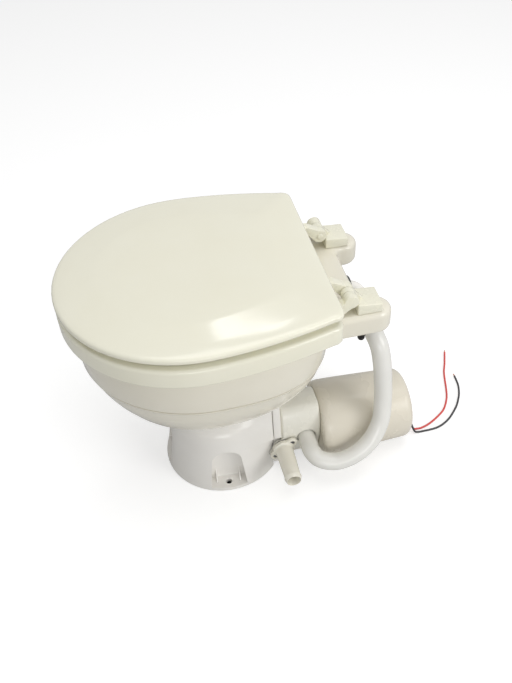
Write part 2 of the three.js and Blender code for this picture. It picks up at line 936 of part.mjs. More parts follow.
add("seat", makeSeat(), enamel);
[
  [-seatBuffer.frontX, seatBuffer.frontY],
  [seatBuffer.frontX, seatBuffer.frontY],
  [-seatBuffer.rearX, seatBuffer.rearY],
  [seatBuffer.rearX, seatBuffer.rearY],
].forEach(([x, y], i) => {
  const foot = alongZ(circle(x, y, seatBuffer.radius), rimTop + fitGap, seatBottom - fitGap);
  add("seat_buffer_" + (i + 1), foot, rubber);
});

// Lid: a shell with a recessed skirt, a rolled lip and a crowned top
const lidLip = lidBottom + lid.skirt;
const lidEdge = lidLip + lid.lip;
const lidEdgeTop = lidEdge + lid.edgeRound;
const lidCrease = lidEdgeTop + lid.borderRise;

function lidOutside() {
  const bend = lid.edgeRound * (1 - Math.SQRT1_2);
  return loft([
    planRing(lid.skirtInset, lidBottom),
    planRing(lid.skirtInset, lidLip),
    planRing(0, lidLip),
    planRing(0, lidEdge),
    planRing(bend, lidEdgeTop - bend),
    planRing(lid.edgeRound, lidEdgeTop),
    planRing(lid.borderWidth, lidCrease),
    planRing(lid.crownInset, lidCrease + lid.crown),
  ]);
}

function lidInside() {
  const { wall } = lid;
  return loft([
    planRing(lid.skirtInset + wall, lidBottom - overrun),
    planRing(lid.skirtInset + wall, lidEdge),
    planRing(lid.skirtInset + lid.edgeRound + wall, lidEdgeTop - wall),
    planRing(lid.borderWidth + wall, lidCrease - wall),
    planRing(lid.crownInset, lidCrease + lid.crown - wall),
  ]);
}

function makeLid() {
  const sockets = [left, right].map(({ lidArm: [from, to] }) => {
    const wall = lid.socketWall;
    const end = plan.rear - lid.skirtInset;
    const shape = rectangle(tongueEnd - wall, end, lidBottom, lidBottom + lid.skirt + lid.lip);
    return alongX(shape, from - wall, to + wall);
  });
  return cut(
    join(cut(lidOutside(), lidInside()), ...sockets),
    ...[left, right].map((slices) => pocketFor(slices.lidArm, lidTongueBottom, lidTongueTop)),
  );
}

add("lid", makeLid(), enamel);
[-1, 1].forEach((side, i) => {
  const shape = circle(side * lidBuffer.x, lidBuffer.y, lidBuffer.radius);
  add("lid_buffer_" + (i + 1), alongZ(shape, seatTop + fitGap, lidBottom - fitGap), rubber);
});

// Hinges
function addHinge(label, slices, side) {
  const middle = (side * hinge.spacing) / 2;
  const half = hinge.blockWidth / 2;
  const foot = rimTop + fitGap;
  const blockShape = polygon([
    [hinge.blockFront, foot],
    [hinge.blockRear, foot],
    [hinge.blockRear, rimTop + hinge.blockHeightRear],
    [hinge.blockFront, rimTop + hinge.blockHeightFront],
  ]);
  const studHole = alongZ(
    circle(middle, stud.y, stud.radius + fitGap), foot - overrun, foot + stud.intoBlock + fitGap,
  );
  const block = alongX(blockShape, middle - half, middle + half, sides.small, hinge.blockRound);
  add("hinge_base_" + label, cut(join(block, alongX(lugShape, ...slices.lug)), studHole), enamel);
  add("seat_arm_" + label, alongX(seatArmShape, ...slices.seatArm), enamel);
  add("lid_arm_" + label, alongX(lidArmShape, ...slices.lidArm), enamel);

  const headFace = slices.inner - side * fitGap;
  const headEnd = headFace - side * hinge.pinHeadLength;
  const head = alongX(
    circle(hinge.axisY, axisZ, hinge.pinHead), Math.min(headFace, headEnd), Math.max(headFace, headEnd),
  );
  const rodStart = Math.min(slices.pin[0], headFace);
  const rodEnd = Math.max(slices.pin[1], headFace);
  const rod = alongX(circle(hinge.axisY, axisZ, hinge.pinRadius), rodStart, rodEnd);
  add("hinge_pin_" + label, join(head, rod), steel);

  const studTop = foot + stud.intoBlock;
  const rodBolt = alongZ(circle(middle, stud.y, stud.radius), deckBottom - stud.below, studTop);
  add("hinge_stud_" + label, rodBolt, steel);

  const washerTop = deckBottom - fitGap;
  const nutTop = washerTop - nut.washer;
  const bore = stud.radius + fitGap;
  const skin = turned(
    [[bore, nutTop], [nut.washerRadius, nutTop], [nut.washerRadius, washerTop], [bore, washerTop],
      [bore, nutTop]],
    sides.medium,
  );
  const nutBottom = nutTop - nut.height;
  const wheel = turned(
    [[bore, nutBottom], [nut.radius - nut.dome, nutBottom], [nut.radius, nutBottom + nut.dome],
      [nut.radius, nutTop - fitGap], [bore, nutTop - fitGap], [bore, nutBottom]],
    sides.medium,
  );
  add("hinge_washer_" + label, skin.translate(middle, stud.y, 0), rubber);
  add("hinge_nut_" + label, wheel.translate(middle, stud.y, 0), blackPlastic);
}

addHinge("left", left, -1);
addHinge("right", right, 1);

// Pump: one case with the discharge chamber in front and the rinse chamber behind
function onAxis(profile, segments = sides.medium) {
  return turned(profile, segments, Y).translate(pumpAxis.x, 0, pumpAxis.z);
}

function axisCircle(radius) {
  return circle(pumpAxis.x, pumpAxis.z, radius);
}

function flangeShape() {
  const tilt = radians(outlet.screwTilt);
  const lobe = Array.from({ length: sides.small + 1 }, (_, i) => {
    const angle = tilt - Math.PI / 2 + (i / sides.small) * Math.PI;
    return [outlet.lobeRadius * Math.cos(angle), outlet.lobeRadius * Math.sin(angle)];
  });
  const along = [outlet.screwReach * Math.cos(tilt), outlet.screwReach * Math.sin(tilt)];
  const waist = [1, -1].map((side) => {
    const angle = tilt + (side * Math.PI) / 2;
    return [
      outlet.y + outlet.centreRadius * Math.cos(angle),
      outlet.z + outlet.centreRadius * Math.sin(angle),
    ];
  });
  return polygon([
    ...lobe.map(([a, b]) => [outlet.y + along[0] + a, outlet.z + along[1] + b]),
    waist[0],
    ...lobe.map(([a, b]) => [outlet.y - along[0] - a, outlet.z - along[1] - b]),
    waist[1],
  ]);
}

function screwPlaces() {
  const tilt = radians(outlet.screwTilt);
  return [1, -1].map((side) => [
    outlet.y + side * outlet.screwReach * Math.cos(tilt),
    outlet.z + side * outlet.screwReach * Math.sin(tilt),
  ]);
}

// A hose tail pointing along +X, with a rounded barb at its tip
function tail(root, rootX, tipRadius, tipX, barb, barbLength) {
  const ridge = tipX - barbLength;
  const profile = [[0, rootX], [root, rootX], [tipRadius, ridge], [tipRadius + barb, ridge],
    [tipRadius - barb, tipX], [0, tipX]];
  return turned(profile, sides.medium).rotateY(Math.PI / 2);
}

const caseBore = axisCircle(housing.chamber);
const flangeTop = outletFace + valve.flange + 2 * fitGap;

add(
  "pump_adaptor",
  cut(
    alongY(polygon(padOutline), padFace, adaptor.end),
    alongY(axisCircle(adaptor.bore), padFace - overrun, adaptor.end + overrun, sides.medium),
    alongY(
      axisCircle(adaptor.plateSeat + fitGap), adaptor.end - adaptor.seatDepth, adaptor.end + overrun,
      sides.medium,
    ),
  ),
  pumpPlastic,
);

function makePumpHousing() {
  const { x } = pumpAxis;
  const section = polygon([
    [x - housing.bottomHalfWidth, housing.bottom],
    [x + housing.bottomHalfWidth, housing.bottom],
    [x + housing.halfWidth, housing.bellyBottom],
    [x + housing.halfWidth, housing.bevelHeight],
    [x + housing.topHalfWidth, housing.top],
    [x - housing.topHalfWidth, housing.top],
    [x - housing.halfWidth, housing.bevelHeight],
    [x - housing.halfWidth, housing.bellyBottom],
  ]);
  const body = alongY(section, housing.start, housing.end);
  const boss = cut(
    alongX(flangeShape(), outlet.root, outletFace, sides.medium),
    alongZ(rectangle(0, outlet.frontRoot, 0, housing.start), 0, housing.top),
  );
  const socketWall = alongX(
    circle(spigot.y, spigot.z, hose.outer + spigot.socketWall), x, outletFace, sides.medium,
  );
  const intake = tail(
    spigot.tail + spigot.barb, -x, spigot.tail, -spigot.intakeTip, spigot.barb, port.barbLength,
  )
    .rotateZ(Math.PI)
    .translate(0, spigot.y, spigot.z);
  const chamber = alongY(caseBore, housing.start - overrun, housing.chamberEnd, sides.medium);
  const shaftHole = alongY(
    axisCircle(shaft.radius + shaft.running), housing.chamberEnd - overrun, housing.end + overrun,
  );
  const sealSeat = alongY(
    axisCircle(shaftSeal.outer + fitGap), housing.chamberEnd + housing.backWall, housing.end + overrun,
    sides.medium,
  );
  const dischargeWay = alongX(
    circle(outlet.y, outlet.z, outlet.bore), x + housing.chamber / 2, outletFace + overrun, sides.medium,
  );
  const socket = alongX(
    ring(spigot.y, spigot.z, hose.outer + fitGap, spigot.tail),
    outletFace - spigot.socketDepth, outletFace + overrun, sides.inner,
  );
  const rinseTail = alongX(
    circle(spigot.y, spigot.z, spigot.tail),
    outletFace - spigot.socketDepth - fitGap, outletFace + spigot.reach, sides.medium,
  );
  const water = alongX(
    circle(spigot.y, spigot.z, spigot.bore),
    spigot.intakeTip - overrun, outletFace + spigot.reach + overrun, sides.medium,
  );
  const screwHoles = screwPlaces().map(([y, z]) =>
    alongX(circle(y, z, portScrew.radius + fitGap), outletFace - portScrew.length, outletFace + overrun));
  const solid = join(cut(join(body, boss, socketWall, intake), socket), rinseTail);
  return cut(solid, chamber, shaftHole, sealSeat, dischargeWay, water, ...screwHoles);
}

add("pump_housing", makePumpHousing(), pumpPlastic);

// Discharge port with its one-way valve
function makeValve() {
  const start = outletFace + fitGap;
  const lips = (radius, half, reach) => {
    const ringAt = (x, share) =>
      Array.from({ length: sides.medium }, (_, i) => {
        const angle = (i / sides.medium) * 2 * Math.PI;
        return new THREE.Vector3(
          mix(radius, half, share) * Math.cos(angle), radius * Math.sin(angle), x,
        );
      });
    const tubeEnd = start + valve.flange + valve.tubeLength;
    return loft([ringAt(start - reach, 0), ringAt(tubeEnd, 0), ringAt(tubeEnd + valve.lipLength + reach, 1)]);
  };
  const collar = alongZ(circle(0, 0, valve.outer), start, start + valve.flange, sides.medium);
  const skin = join(collar, lips(valve.tube, valve.lip, 0));
  const body = cut(skin, lips(valve.tube - valve.wall, valve.slit, fitGap));
  return body.applyMatrix4(new THREE.Matrix4().makeBasis(Y, Z, X).setPosition(0, outlet.y, outlet.z));
}

add("joker_valve", makeValve(), rubber);

function makePort() {
  const flange = alongX(flangeShape(), flangeTop, flangeTop + port.flange, sides.medium);
  const pipe = tail(port.rootRadius, flangeTop, port.tipRadius, port.tip, port.barb, port.barbLength)
    .translate(0, outlet.y, outlet.z);
  const bore = alongX(
    circle(outlet.y, outlet.z, port.bore), flangeTop - overrun, port.tip + overrun, sides.medium,
  );
  const root = alongX(
    circle(outlet.y, outlet.z, port.rootBore), flangeTop - overrun, flangeTop + port.rootLength, sides.medium,
  );
  const holes = screwPlaces().map(([y, z]) =>
    alongX(circle(y, z, portScrew.radius + fitGap), flangeTop - overrun, flangeTop + port.flange + overrun));
  return cut(join(flange, pipe), bore, root, ...holes);
}

add("discharge_port", makePort(), whitePlastic);
screwPlaces().forEach(([y, z], i) => {
  const seatX = flangeTop + port.flange + fitGap;
  const head = alongX(circle(y, z, portScrew.headRadius), seatX, seatX + portScrew.headHeight);
  const shank = alongX(circle(y, z, portScrew.radius), seatX - portScrew.length, seatX + fitGap);
  add("port_screw_" + (i + 1), join(head, shank), steel);
});

// Rotor: every wheel is a sleeve on the one shaft
function wheelOf(start, length, hub, pieces) {
  const sleeve = alongY(axisCircle(hub), start, start + length, sides.medium);
  const hole = alongY(axisCircle(shaft.radius + fitGap), start - overrun, start + length + overrun);
  return cut(join(sleeve, ...pieces), hole);
}

function spokes(count, inner, outer, width, start, end) {
  return Array.from({ length: count }, (_, i) =>
    alongY(rectangle(inner, outer, -width / 2, width / 2), start, end)
      .rotateY((i / count) * 2 * Math.PI)
      .translate(pumpAxis.x, 0, pumpAxis.z));
}

add(
  "rotor_shaft",
  onAxis([[0, shaft.start], [shaft.radius, shaft.start], [shaft.radius, shaft.end], [0, shaft.end]]),
  steel,
);
const chopperEnd = chopper.y + chopper.thickness;
add(
  "macerator_blade",
  wheelOf(chopper.y, chopper.thickness, chopper.hub, [
    ...spokes(2, chopper.hub / 2, chopper.reach, chopper.width, chopper.y, chopperEnd),
  ]),
  steel,
);
const plateHoles = Array.from({ length: chopperPlate.holes }, (_, i) => {
  const angle = (i / chopperPlate.holes) * 2 * Math.PI;
  const x = pumpAxis.x + chopperPlate.holeCircle * Math.cos(angle);
  const z = pumpAxis.z + chopperPlate.holeCircle * Math.sin(angle);
  return alongY(
    circle(x, z, chopperPlate.hole),
    chopperPlate.y - overrun, chopperPlate.y + chopperPlate.thickness + overrun,
    sides.bolt,
  );
});
const runningHole = shaft.radius + shaft.running;
add(
  "chopper_plate",
  cut(
    alongY(
      ring(pumpAxis.x, pumpAxis.z, adaptor.plateSeat, runningHole),
      chopperPlate.y, chopperPlate.y + chopperPlate.thickness, sides.medium,
    ),
    ...plateHoles,
  ),
  steel,
);
add(
  "discharge_impeller",
  wheelOf(
    discharge.y, discharge.length, discharge.hub,
    spokes(
      discharge.vanes, discharge.hub / 2, discharge.reach, discharge.vane,
      discharge.y, discharge.y + discharge.length,
    ),
  ),
  blackPlastic,
);
add(
  "chamber_divider",
  alongY(
    ring(pumpAxis.x, pumpAxis.z, housing.chamber - fitGap, runningHole),
    divider.y, divider.y + divider.thickness, sides.medium,
  ),
  pumpPlastic,
);
add(
  "rinse_impeller",
  wheelOf(
    rinse.y, rinse.length, rinse.hub,
    spokes(rinse.vanes, rinse.hub / 2, rinse.reach, rinse.vane, rinse.y, rinse.y + rinse.length),
  ),
  rubber,
);
const sealStart = housing.chamberEnd + housing.backWall + fitGap;
add(
  "shaft_seal",
  alongY(
    ring(pumpAxis.x, pumpAxis.z, shaftSeal.outer, shaft.radius + fitGap),
    sealStart, sealStart + shaftSeal.length, sides.medium,
  ),
  rubber,
);

// Motor: a wound armature between two magnets in a steel can, under a plastic cover
add(
  "motor_plate",
  onAxis(
    [
      [bearing.outer + fitGap, motorStart],
      [can.outer, motorStart],
      [can.outer, motorStart + motorPlate.thickness],
      [bearing.outer + fitGap, motorStart + motorPlate.thickness],
      [bearing.outer + fitGap, motorStart],
    ],
    sides.inner,
  ),
  steel,
);

function bearingAt(start) {
  return alongY(
    ring(pumpAxis.x, pumpAxis.z, bearing.outer, shaft.radius + fitGap), start, start + bearing.length,
    sides.medium,
  );
}
add("front_bearing", bearingAt(motorStart), steel);
add("rear_bearing", bearingAt(canEnd), steel);
const canInner = can.outer - can.wall;
const bossInner = bearing.outer + fitGap;
add(
  "motor_can",
  onAxis(
    [
      [canInner, canStart],
      [can.outer, canStart],
      [can.outer, canEnd],
      [can.bossRadius, canEnd],
      [can.bossRadius, canEnd + can.bossLength],
      [0, canEnd + can.bossLength],
      [0, canEnd + can.bossLength - can.wall / 2],
      [bossInner, canEnd + can.bossLength - can.wall / 2],
      [bossInner, canEnd - can.wall],
      [canInner, canEnd - can.wall],
      [canInner, canStart],
    ],
    sides.inner,
  ),
  steel,
);

const magnetOuter = canInner - magnet.glue;
const magnetInner = magnetOuter - magnet.wall;
const magnetStart = canStart + magnet.offset;
["upper", "lower"].forEach((place, i) => {
  const gap = radians(magnet.gapAngle / 2);
  const from = gap + i * Math.PI;
  const to = (i + 1) * Math.PI - gap;
  const shape = new THREE.Shape();
  shape.absarc(pumpAxis.x, pumpAxis.z, magnetOuter, from, to, false);
  shape.absarc(pumpAxis.x, pumpAxis.z, magnetInner, to, from, true);
  shape.closePath();
  add("magnet_" + place, alongY(shape, magnetStart, magnetStart + magnet.length, sides.medium), magnetic);
});

function makeArmature() {
  const start = canStart + armature.offset;
  const end = start + armature.length;
  const core = alongY(axisCircle(magnetInner - armature.air), start, end, sides.inner);
  const reach = magnetInner;
  const slots = spokes(
    armature.slots, reach - armature.slotDepth, reach + overrun, armature.slotWidth,
    start - overrun, end + overrun,
  );
  const winding = alongY(
    axisCircle(armature.winding), start - armature.overhang, end + armature.overhang,
    sides.medium, armature.overhang / 2,
  );
  const hole = alongY(
    axisCircle(shaft.radius + fitGap), start - 2 * armature.overhang, end + 2 * armature.overhang,
  );
  return cut(join(cut(core, ...slots), winding), hole);
}

add("armature", makeArmature(), copper);
const commutatorStart = canStart + armature.offset + armature.length + armature.overhang + fitGap;
add(
  "commutator",
  alongY(
    ring(pumpAxis.x, pumpAxis.z, commutator.radius, shaft.radius + fitGap),
    commutatorStart, commutatorStart + commutator.length, sides.medium,
  ),
  copper,
);
const brushStart = commutatorStart + commutator.length / 2;
const brushInner = commutator.radius + brushes.air;
add(
  "brush_plate",
  join(
    alongY(
      ring(pumpAxis.x, pumpAxis.z, canInner - fitGap, magnetInner / 2),
      brushStart, brushStart + brushes.plate, sides.inner,
    ),
    ...spokes(
      2, brushInner, magnetInner - overrun, brushes.width, brushStart - brushes.depth / 2,
      brushStart + brushes.plate - fitGap,
    ),
  ),
  blackPlastic,
);

// The cover swells from the can's mouth over a soft shoulder, tapers and ends in a rounded rear
function coverProfile(inset) {
  const turns = Array.from({ length: cover.steps + 1 }, (_, i) => (i / cover.steps) * (Math.PI / 2));
  const mouth = can.outer + fitGap + cover.wall;
  const front = turns.map((turn) => [
    mix(mouth, cover.frontRadius, Math.sin(turn)) - inset, motorStart + cover.shoulder * (1 - Math.cos(turn)),
  ]);
  const centre = cover.rearRadius - cover.rearRound;
  const rear = turns.map((turn) => [
    centre + (cover.rearRound - inset) * Math.cos(turn),
    cover.end - cover.rearRound + (cover.rearRound - inset) * Math.sin(turn),
  ]);
  return [...front, ...rear, [0, cover.end - inset]];
}

add(
  "motor_cover",
  cut(
    onAxis(
      [...coverProfile(0), ...coverProfile(cover.wall).reverse(), coverProfile(0)[0]],
      sides.large,
    ),
    alongY(
      circle(grommet.x, grommet.z, grommet.outer + fitGap), cover.end - cover.rearRound, cover.end + overrun,
    ),
  ),
  coverPlastic,
);

// Leads through a grommet in the rear of the cover
function routeCurve(points) {
  const route = points.map(([x, y, z]) => new THREE.Vector3(x, y, z));
  return new THREE.CatmullRomCurve3(route, false, "catmullrom", lead.tension);
}

const grommetInner = cover.end - cover.wall - fitGap - grommet.flangeThickness;
add(
  "wire_grommet",
  cut(
    join(
      alongY(
        circle(grommet.x, grommet.z, grommet.flange), grommetInner, grommetInner + grommet.flangeThickness,
      ),
      alongY(circle(grommet.x, grommet.z, grommet.outer), grommetInner, cover.end + grommet.flangeThickness),
    ),
    ...[-1, 1].map((side) =>
      alongY(
        circle(grommet.x + (side * grommet.pitch) / 2, grommet.z, lead.radius + 3 * fitGap),
        grommetInner - overrun, cover.end + 2 * overrun,
      )),
  ),
  rubber,
);
for (const [name, points] of Object.entries(leadRoutes)) {
  const wire = tubeAlong(routeCurve(points), lead.radius, lead.steps, lead.sides);
  add(name, wire, name === "red_lead" ? redInsulation : blackInsulation);
}

// Rinse hose between the pump and the inlet elbow on the bowl
const tiltDirection = [Math.cos(radians(inlet.tailTilt)), 0, -Math.sin(radians(inlet.tailTilt))];
const elbowCentre = new THREE.Vector3(0, deck.rear + inlet.reach, inletZ);

function alongTilt(distance) {
  return new THREE.Vector3(...tiltDirection).multiplyScalar(distance).add(elbowCentre);
}

function elbowPath(start, end) {
  const path = new THREE.CurvePath();
  const before = new THREE.Vector3(0, elbowCentre.y - inlet.bend, inletZ);
  path.add(new THREE.LineCurve3(new THREE.Vector3(0, start, inletZ), before));
  path.add(new THREE.QuadraticBezierCurve3(before, elbowCentre, alongTilt(inlet.bend)));
  path.add(new THREE.LineCurve3(alongTilt(inlet.bend), alongTilt(end)));
  return path;
}

function onInlet(profile) {
  return turned(profile, sides.medium, Y).translate(0, 0, inletZ);
}

const sealFace = deck.rear + fitGap;
add(
  "inlet_seal",
  onInlet([
    [inlet.spigot + fitGap, deck.rear - inlet.sealDepth],
    [inlet.seal, deck.rear - inlet.sealDepth],
    [inlet.seal, sealFace],
    [inlet.sealFlange, sealFace],
    [inlet.sealFlange, sealFace + inlet.sealThickness],
    [inlet.spigot + fitGap, sealFace + inlet.sealThickness],
    [inlet.spigot + fitGap, deck.rear - inlet.sealDepth],
  ]),
  rubber,
);

function makeInletElbow() {
  const start = deck.rear - inlet.sealDepth;
  const collarStart = sealFace + inlet.sealThickness + fitGap;
  const skin = tubeAlong(elbowPath(start, inlet.hoseStart), inlet.spigot, inlet.steps, sides.medium);
  const collar = tubeAlong(
    elbowPath(collarStart, inlet.hoseStart - fitGap), inlet.collar, inlet.steps, sides.medium,
  );
  const barbed = tubeAlong(
    new THREE.LineCurve3(alongTilt(inlet.bend), alongTilt(inlet.tailLength)), inlet.tail, 1, sides.medium,
  );
  const water = tubeAlong(
    elbowPath(start - overrun, inlet.tailLength + overrun), inlet.water, inlet.steps, sides.medium,
  );
  return cut(join(skin, collar, barbed), water);
}

add("inlet_elbow", makeInletElbow(), whitePlastic);

function makeHose() {
  const end = new THREE.Vector3(outletFace - spigot.socketDepth + fitGap, spigot.y, spigot.z);
  const offSpigot = [spigot.reach, spigot.reach / 2].map(
    (out) => new THREE.Vector3(outletFace + out, spigot.y, spigot.z),
  );
  const middle = hoseRoute.map(([x, y, z]) => new THREE.Vector3(x, y, z));
  const curve = new THREE.CatmullRomCurve3(
    [alongTilt(inlet.hoseStart), alongTilt(inlet.tailLength), ...middle, ...offSpigot, end],
    false, "centripetal",
  );
  return tubeAlong(curve, hose.outer, hose.steps, hose.sides, hose.inner);
}

add("rinse_hose", makeHose(), hosePlastic);

// The part's origin is the middle of its floor outline, leads left out
toilet.position.y = -(plan.front + cover.end + grommet.flangeThickness) / 2;

export default toilet;
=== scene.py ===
import json
import math
import bpy
import bmesh
from mathutils import Matrix, Vector
from mathutils.geometry import tessellate_polygon


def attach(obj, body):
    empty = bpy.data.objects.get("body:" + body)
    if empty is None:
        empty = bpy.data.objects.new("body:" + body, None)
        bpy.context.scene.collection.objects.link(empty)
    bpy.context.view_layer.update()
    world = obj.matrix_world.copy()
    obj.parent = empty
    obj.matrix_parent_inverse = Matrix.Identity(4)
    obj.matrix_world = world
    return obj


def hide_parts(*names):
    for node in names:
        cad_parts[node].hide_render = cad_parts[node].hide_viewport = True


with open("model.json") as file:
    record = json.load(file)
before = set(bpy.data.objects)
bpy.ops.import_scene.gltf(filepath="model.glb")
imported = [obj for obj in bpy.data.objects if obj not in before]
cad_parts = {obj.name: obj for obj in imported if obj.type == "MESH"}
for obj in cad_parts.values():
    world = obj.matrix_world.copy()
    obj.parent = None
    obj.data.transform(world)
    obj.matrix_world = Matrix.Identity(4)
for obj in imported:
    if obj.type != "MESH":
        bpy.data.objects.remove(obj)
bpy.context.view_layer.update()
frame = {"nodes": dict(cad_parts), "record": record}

# The studio
# White paper on the floor that keeps a soft shadow, under broad soft lamps in a white room.
# The camera stands above the toilet, at its right, a little tilted, as the picture was taken.

# Pieces are drawn in mm from the pedestal's axis, which stands this far in front of the part's origin.
axis_forward = 42.3


def at(x, y, z):
    """A place in mm from the foot of the pedestal's axis, as metres from the part's origin."""
    return Vector((x, y - axis_forward, z)) / 1000


def linear(code):
    """An sRGB hex colour as linear red, green, blue and full opacity."""
    parts = [int(code[i:i + 2], 16) / 255 for i in (1, 3, 5)]
    return [p / 12.92 if p <= 0.04045 else ((p + 0.055) / 1.055) ** 2.4 for p in parts] + [1]


def node(tree, kind, inputs=(), **settings):
    """A node with its settings; each input is given a value or linked to a socket."""
    made = tree.nodes.new(kind)
    for name, value in settings.items():
        setattr(made, name, value)
    for key, value in dict(inputs).items():
        if isinstance(value, bpy.types.NodeSocket):
            tree.links.new(value, made.inputs[key])
        else:
            made.inputs[key].default_value = value
    return made


def combined(tree, operation, first, second):
    """What a math node makes of two numbers or sockets."""
    return node(tree, "ShaderNodeMath", {0: first, 1: second}, operation=operation).outputs[0]


def blank(name):
    """A new material and its empty node tree."""
    material = bpy.data.materials.new(name)
    material.use_nodes = True
    material.node_tree.nodes.clear()
    return material, material.node_tree


scene = bpy.context.scene
scene.view_settings.view_transform = "Standard"
white = linear("#FFFFFF")

# Metres: half the paper's side, and the round patch of painted shade under the pedestal, cut off in front of
# the pump.
paper_reach = 9
shade_patch_radius, shade_patch_rear = 0.081, 0.014
paper_glow = 0.5
floor_mesh = bpy.data.meshes.new("floor")
paper_corners = [(-1, -1), (1, -1), (1, 1), (-1, 1)]
floor_mesh.from_pydata([(x * paper_reach, y * paper_reach, 0) for x, y in paper_corners], [], [(0, 1, 2, 3)])
floor = bpy.data.objects.new("floor", floor_mesh)
scene.collection.objects.link(floor)
floor_paint, tree = blank("white_studio_paper")
path = node(tree, "ShaderNodeLightPath")
spot = node(tree, "ShaderNodeTexCoord").outputs["Object"]
# Painted shade: under the pedestal the paper is painted near black and does not glow, so the bolt holes look
# dark as if in deep shadow.
from_axis = node(tree, "ShaderNodeVectorMath", {0: spot, 1: tuple(at(0, 0, 0))}, operation="DISTANCE")
outside = combined(tree, "GREATER_THAN", from_axis.outputs["Value"], shade_patch_radius)
depth = node(tree, "ShaderNodeSeparateXYZ", {0: spot}).outputs["Y"]
behind = combined(tree, "GREATER_THAN", depth, shade_patch_rear)
outside_painted_shade = combined(tree, "MAXIMUM", outside, behind)
camera_glow = combined(tree, "MULTIPLY", path.outputs["Is Camera Ray"], paper_glow)
glow = combined(tree, "MULTIPLY", outside_painted_shade, camera_glow)
# The paper's colour: pale, and near black where the painted shade lies under the pedestal.
paper_and_painted_shade = node(
    tree, "ShaderNodeMix", {0: outside_painted_shade, 6: linear("#1C1C1C"), 7: linear("#DADADA")}, data_type="RGBA",
)
paper = node(tree, "ShaderNodeBsdfDiffuse", {"Color": paper_and_painted_shade.outputs[2]})
lift = node(tree, "ShaderNodeEmission", {"Color": white, "Strength": glow})
both = node(tree, "ShaderNodeAddShader", {0: paper.outputs[0], 1: lift.outputs[0]})
node(tree, "ShaderNodeOutputMaterial", {"Surface": both.outputs[0]})
floor_mesh.materials.append(floor_paint)

# The room lights the toilet softly. To the camera, in mirrors and through glass its walls are plain white.
room_strength, wall_strength = 0.42, 1.0
world = bpy.data.worlds.new("studio")
scene.world = world
world.use_nodes = True
tree = world.node_tree
tree.nodes.clear()
path = node(tree, "ShaderNodeLightPath")
seen = combined(tree, "MAXIMUM", path.outputs["Is Camera Ray"], path.outputs["Is Glossy Ray"])
through = combined(tree, "MAXIMUM", seen, path.outputs["Is Transmission Ray"])
room = node(tree, "ShaderNodeBackground", {"Color": white, "Strength": room_strength})
wall = node(tree, "ShaderNodeBackground", {"Color": white, "Strength": wall_strength})
either = node(tree, "ShaderNodeMixShader", {0: through, 1: room.outputs[0], 2: wall.outputs[0]})
node(tree, "ShaderNodeOutputWorld", {"Surface": either.outputs[0]})


def lamp(name, place, aim, size, watts):
    """A rectangular lamp at a place, turned to what it is aimed at, in metres."""
    light = bpy.data.lights.new(name, "AREA")
    light.shape = "RECTANGLE"
    light.size, light.size_y = size
    light.energy = watts
    lamp_object = bpy.data.objects.new(name, light)
    scene.collection.objects.link(lamp_object)
    direction = Vector(aim) - Vector(place)
    lamp_object.location = place
    lamp_object.rotation_euler = direction.to_track_quat("-Z", "Y").to_euler()


lamp("overhead", (0.1, 0.1, 2.3), (0, 0, 0.2), (1.6, 1.6), 18)
lamp("far_window", (-1.0, 0.28, 1.87), (0, 0, 0.3), (0.32, 0.15), 0.9)
lamp("rear_window", (1.4, 1.4, 1.1), (0, 0, 0.15), (1.0, 1.0), 14)
lamp("side_fill", (1.9, -0.2, 0.5), (0, 0, 0.05), (1.0, 0.5), 5)

# The camera's azimuth, elevation and roll in degrees, its place in metres, and its lens in mm.
azimuth, elevation, roll = (math.radians(a) for a in (79.83, 43.33, -3.45))
camera_place = (0.74308, -0.11698, 0.91109)
focal_length, sensor_width = 54.397, 36
back = Vector((
    math.sin(azimuth) * math.cos(elevation),
    -math.cos(azimuth) * math.cos(elevation),
    math.sin(elevation),
))
level = Vector((0, 0, 1)).cross(back).normalized()
tilted = Matrix.Rotation(roll, 3, back)
camera = bpy.data.cameras.new("camera")
camera.sensor_fit = "HORIZONTAL"
camera.sensor_width = sensor_width
camera.lens = focal_length
camera_object = bpy.data.objects.new("camera", camera)
scene.collection.objects.link(camera_object)
axes = Matrix((tilted @ level, tilted @ back.cross(level), back)).transposed()
camera_object.matrix_world = Matrix.Translation(camera_place) @ axes.to_4x4()
scene.camera = camera_object


# Supply leads
# Two copper leads in soft PVC, one red and one black, drawn through a rubber grommet in the motor cover.
# They drop to the floor, lie there in loose curves and end in short stripped tips.
def through_points(points, per_span, tension=0.5):
    """A smooth route through the points, with so many places on each span."""
    ends = [2 * points[0] - points[1], *points, 2 * points[-1] - points[-2]]
    route = []
    for before, start, stop, after in zip(ends, ends[1:], ends[2:], ends[3:]):
        leave = (stop - before) * tension
        arrive = (after - start) * tension
        for step in range(per_span):
            t = step / per_span
            route.append(
                start * (2 * t ** 3 - 3 * t ** 2 + 1) + leave * (t ** 3 - 2 * t ** 2 + t)
                + stop * (3 * t ** 2 - 2 * t ** 3) + arrive * (t ** 3 - t ** 2)
            )
    return route + [points[-1]]


def finished(name, mesh, material, body="stand", sharp=35):
    """The mesh as a piece of that material, riding on a body, with edges over the sharp angle crisp."""
    mesh.validate()
    mesh.materials.clear()
    mesh.materials.append(material)
    mesh.polygons.foreach_set("use_smooth", [True] * len(mesh.polygons))
    mesh.set_sharp_from_angle(angle=math.radians(sharp))
    piece = bpy.data.objects.new(name, mesh)
    scene.collection.objects.link(piece)
    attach(piece, body)
    return piece


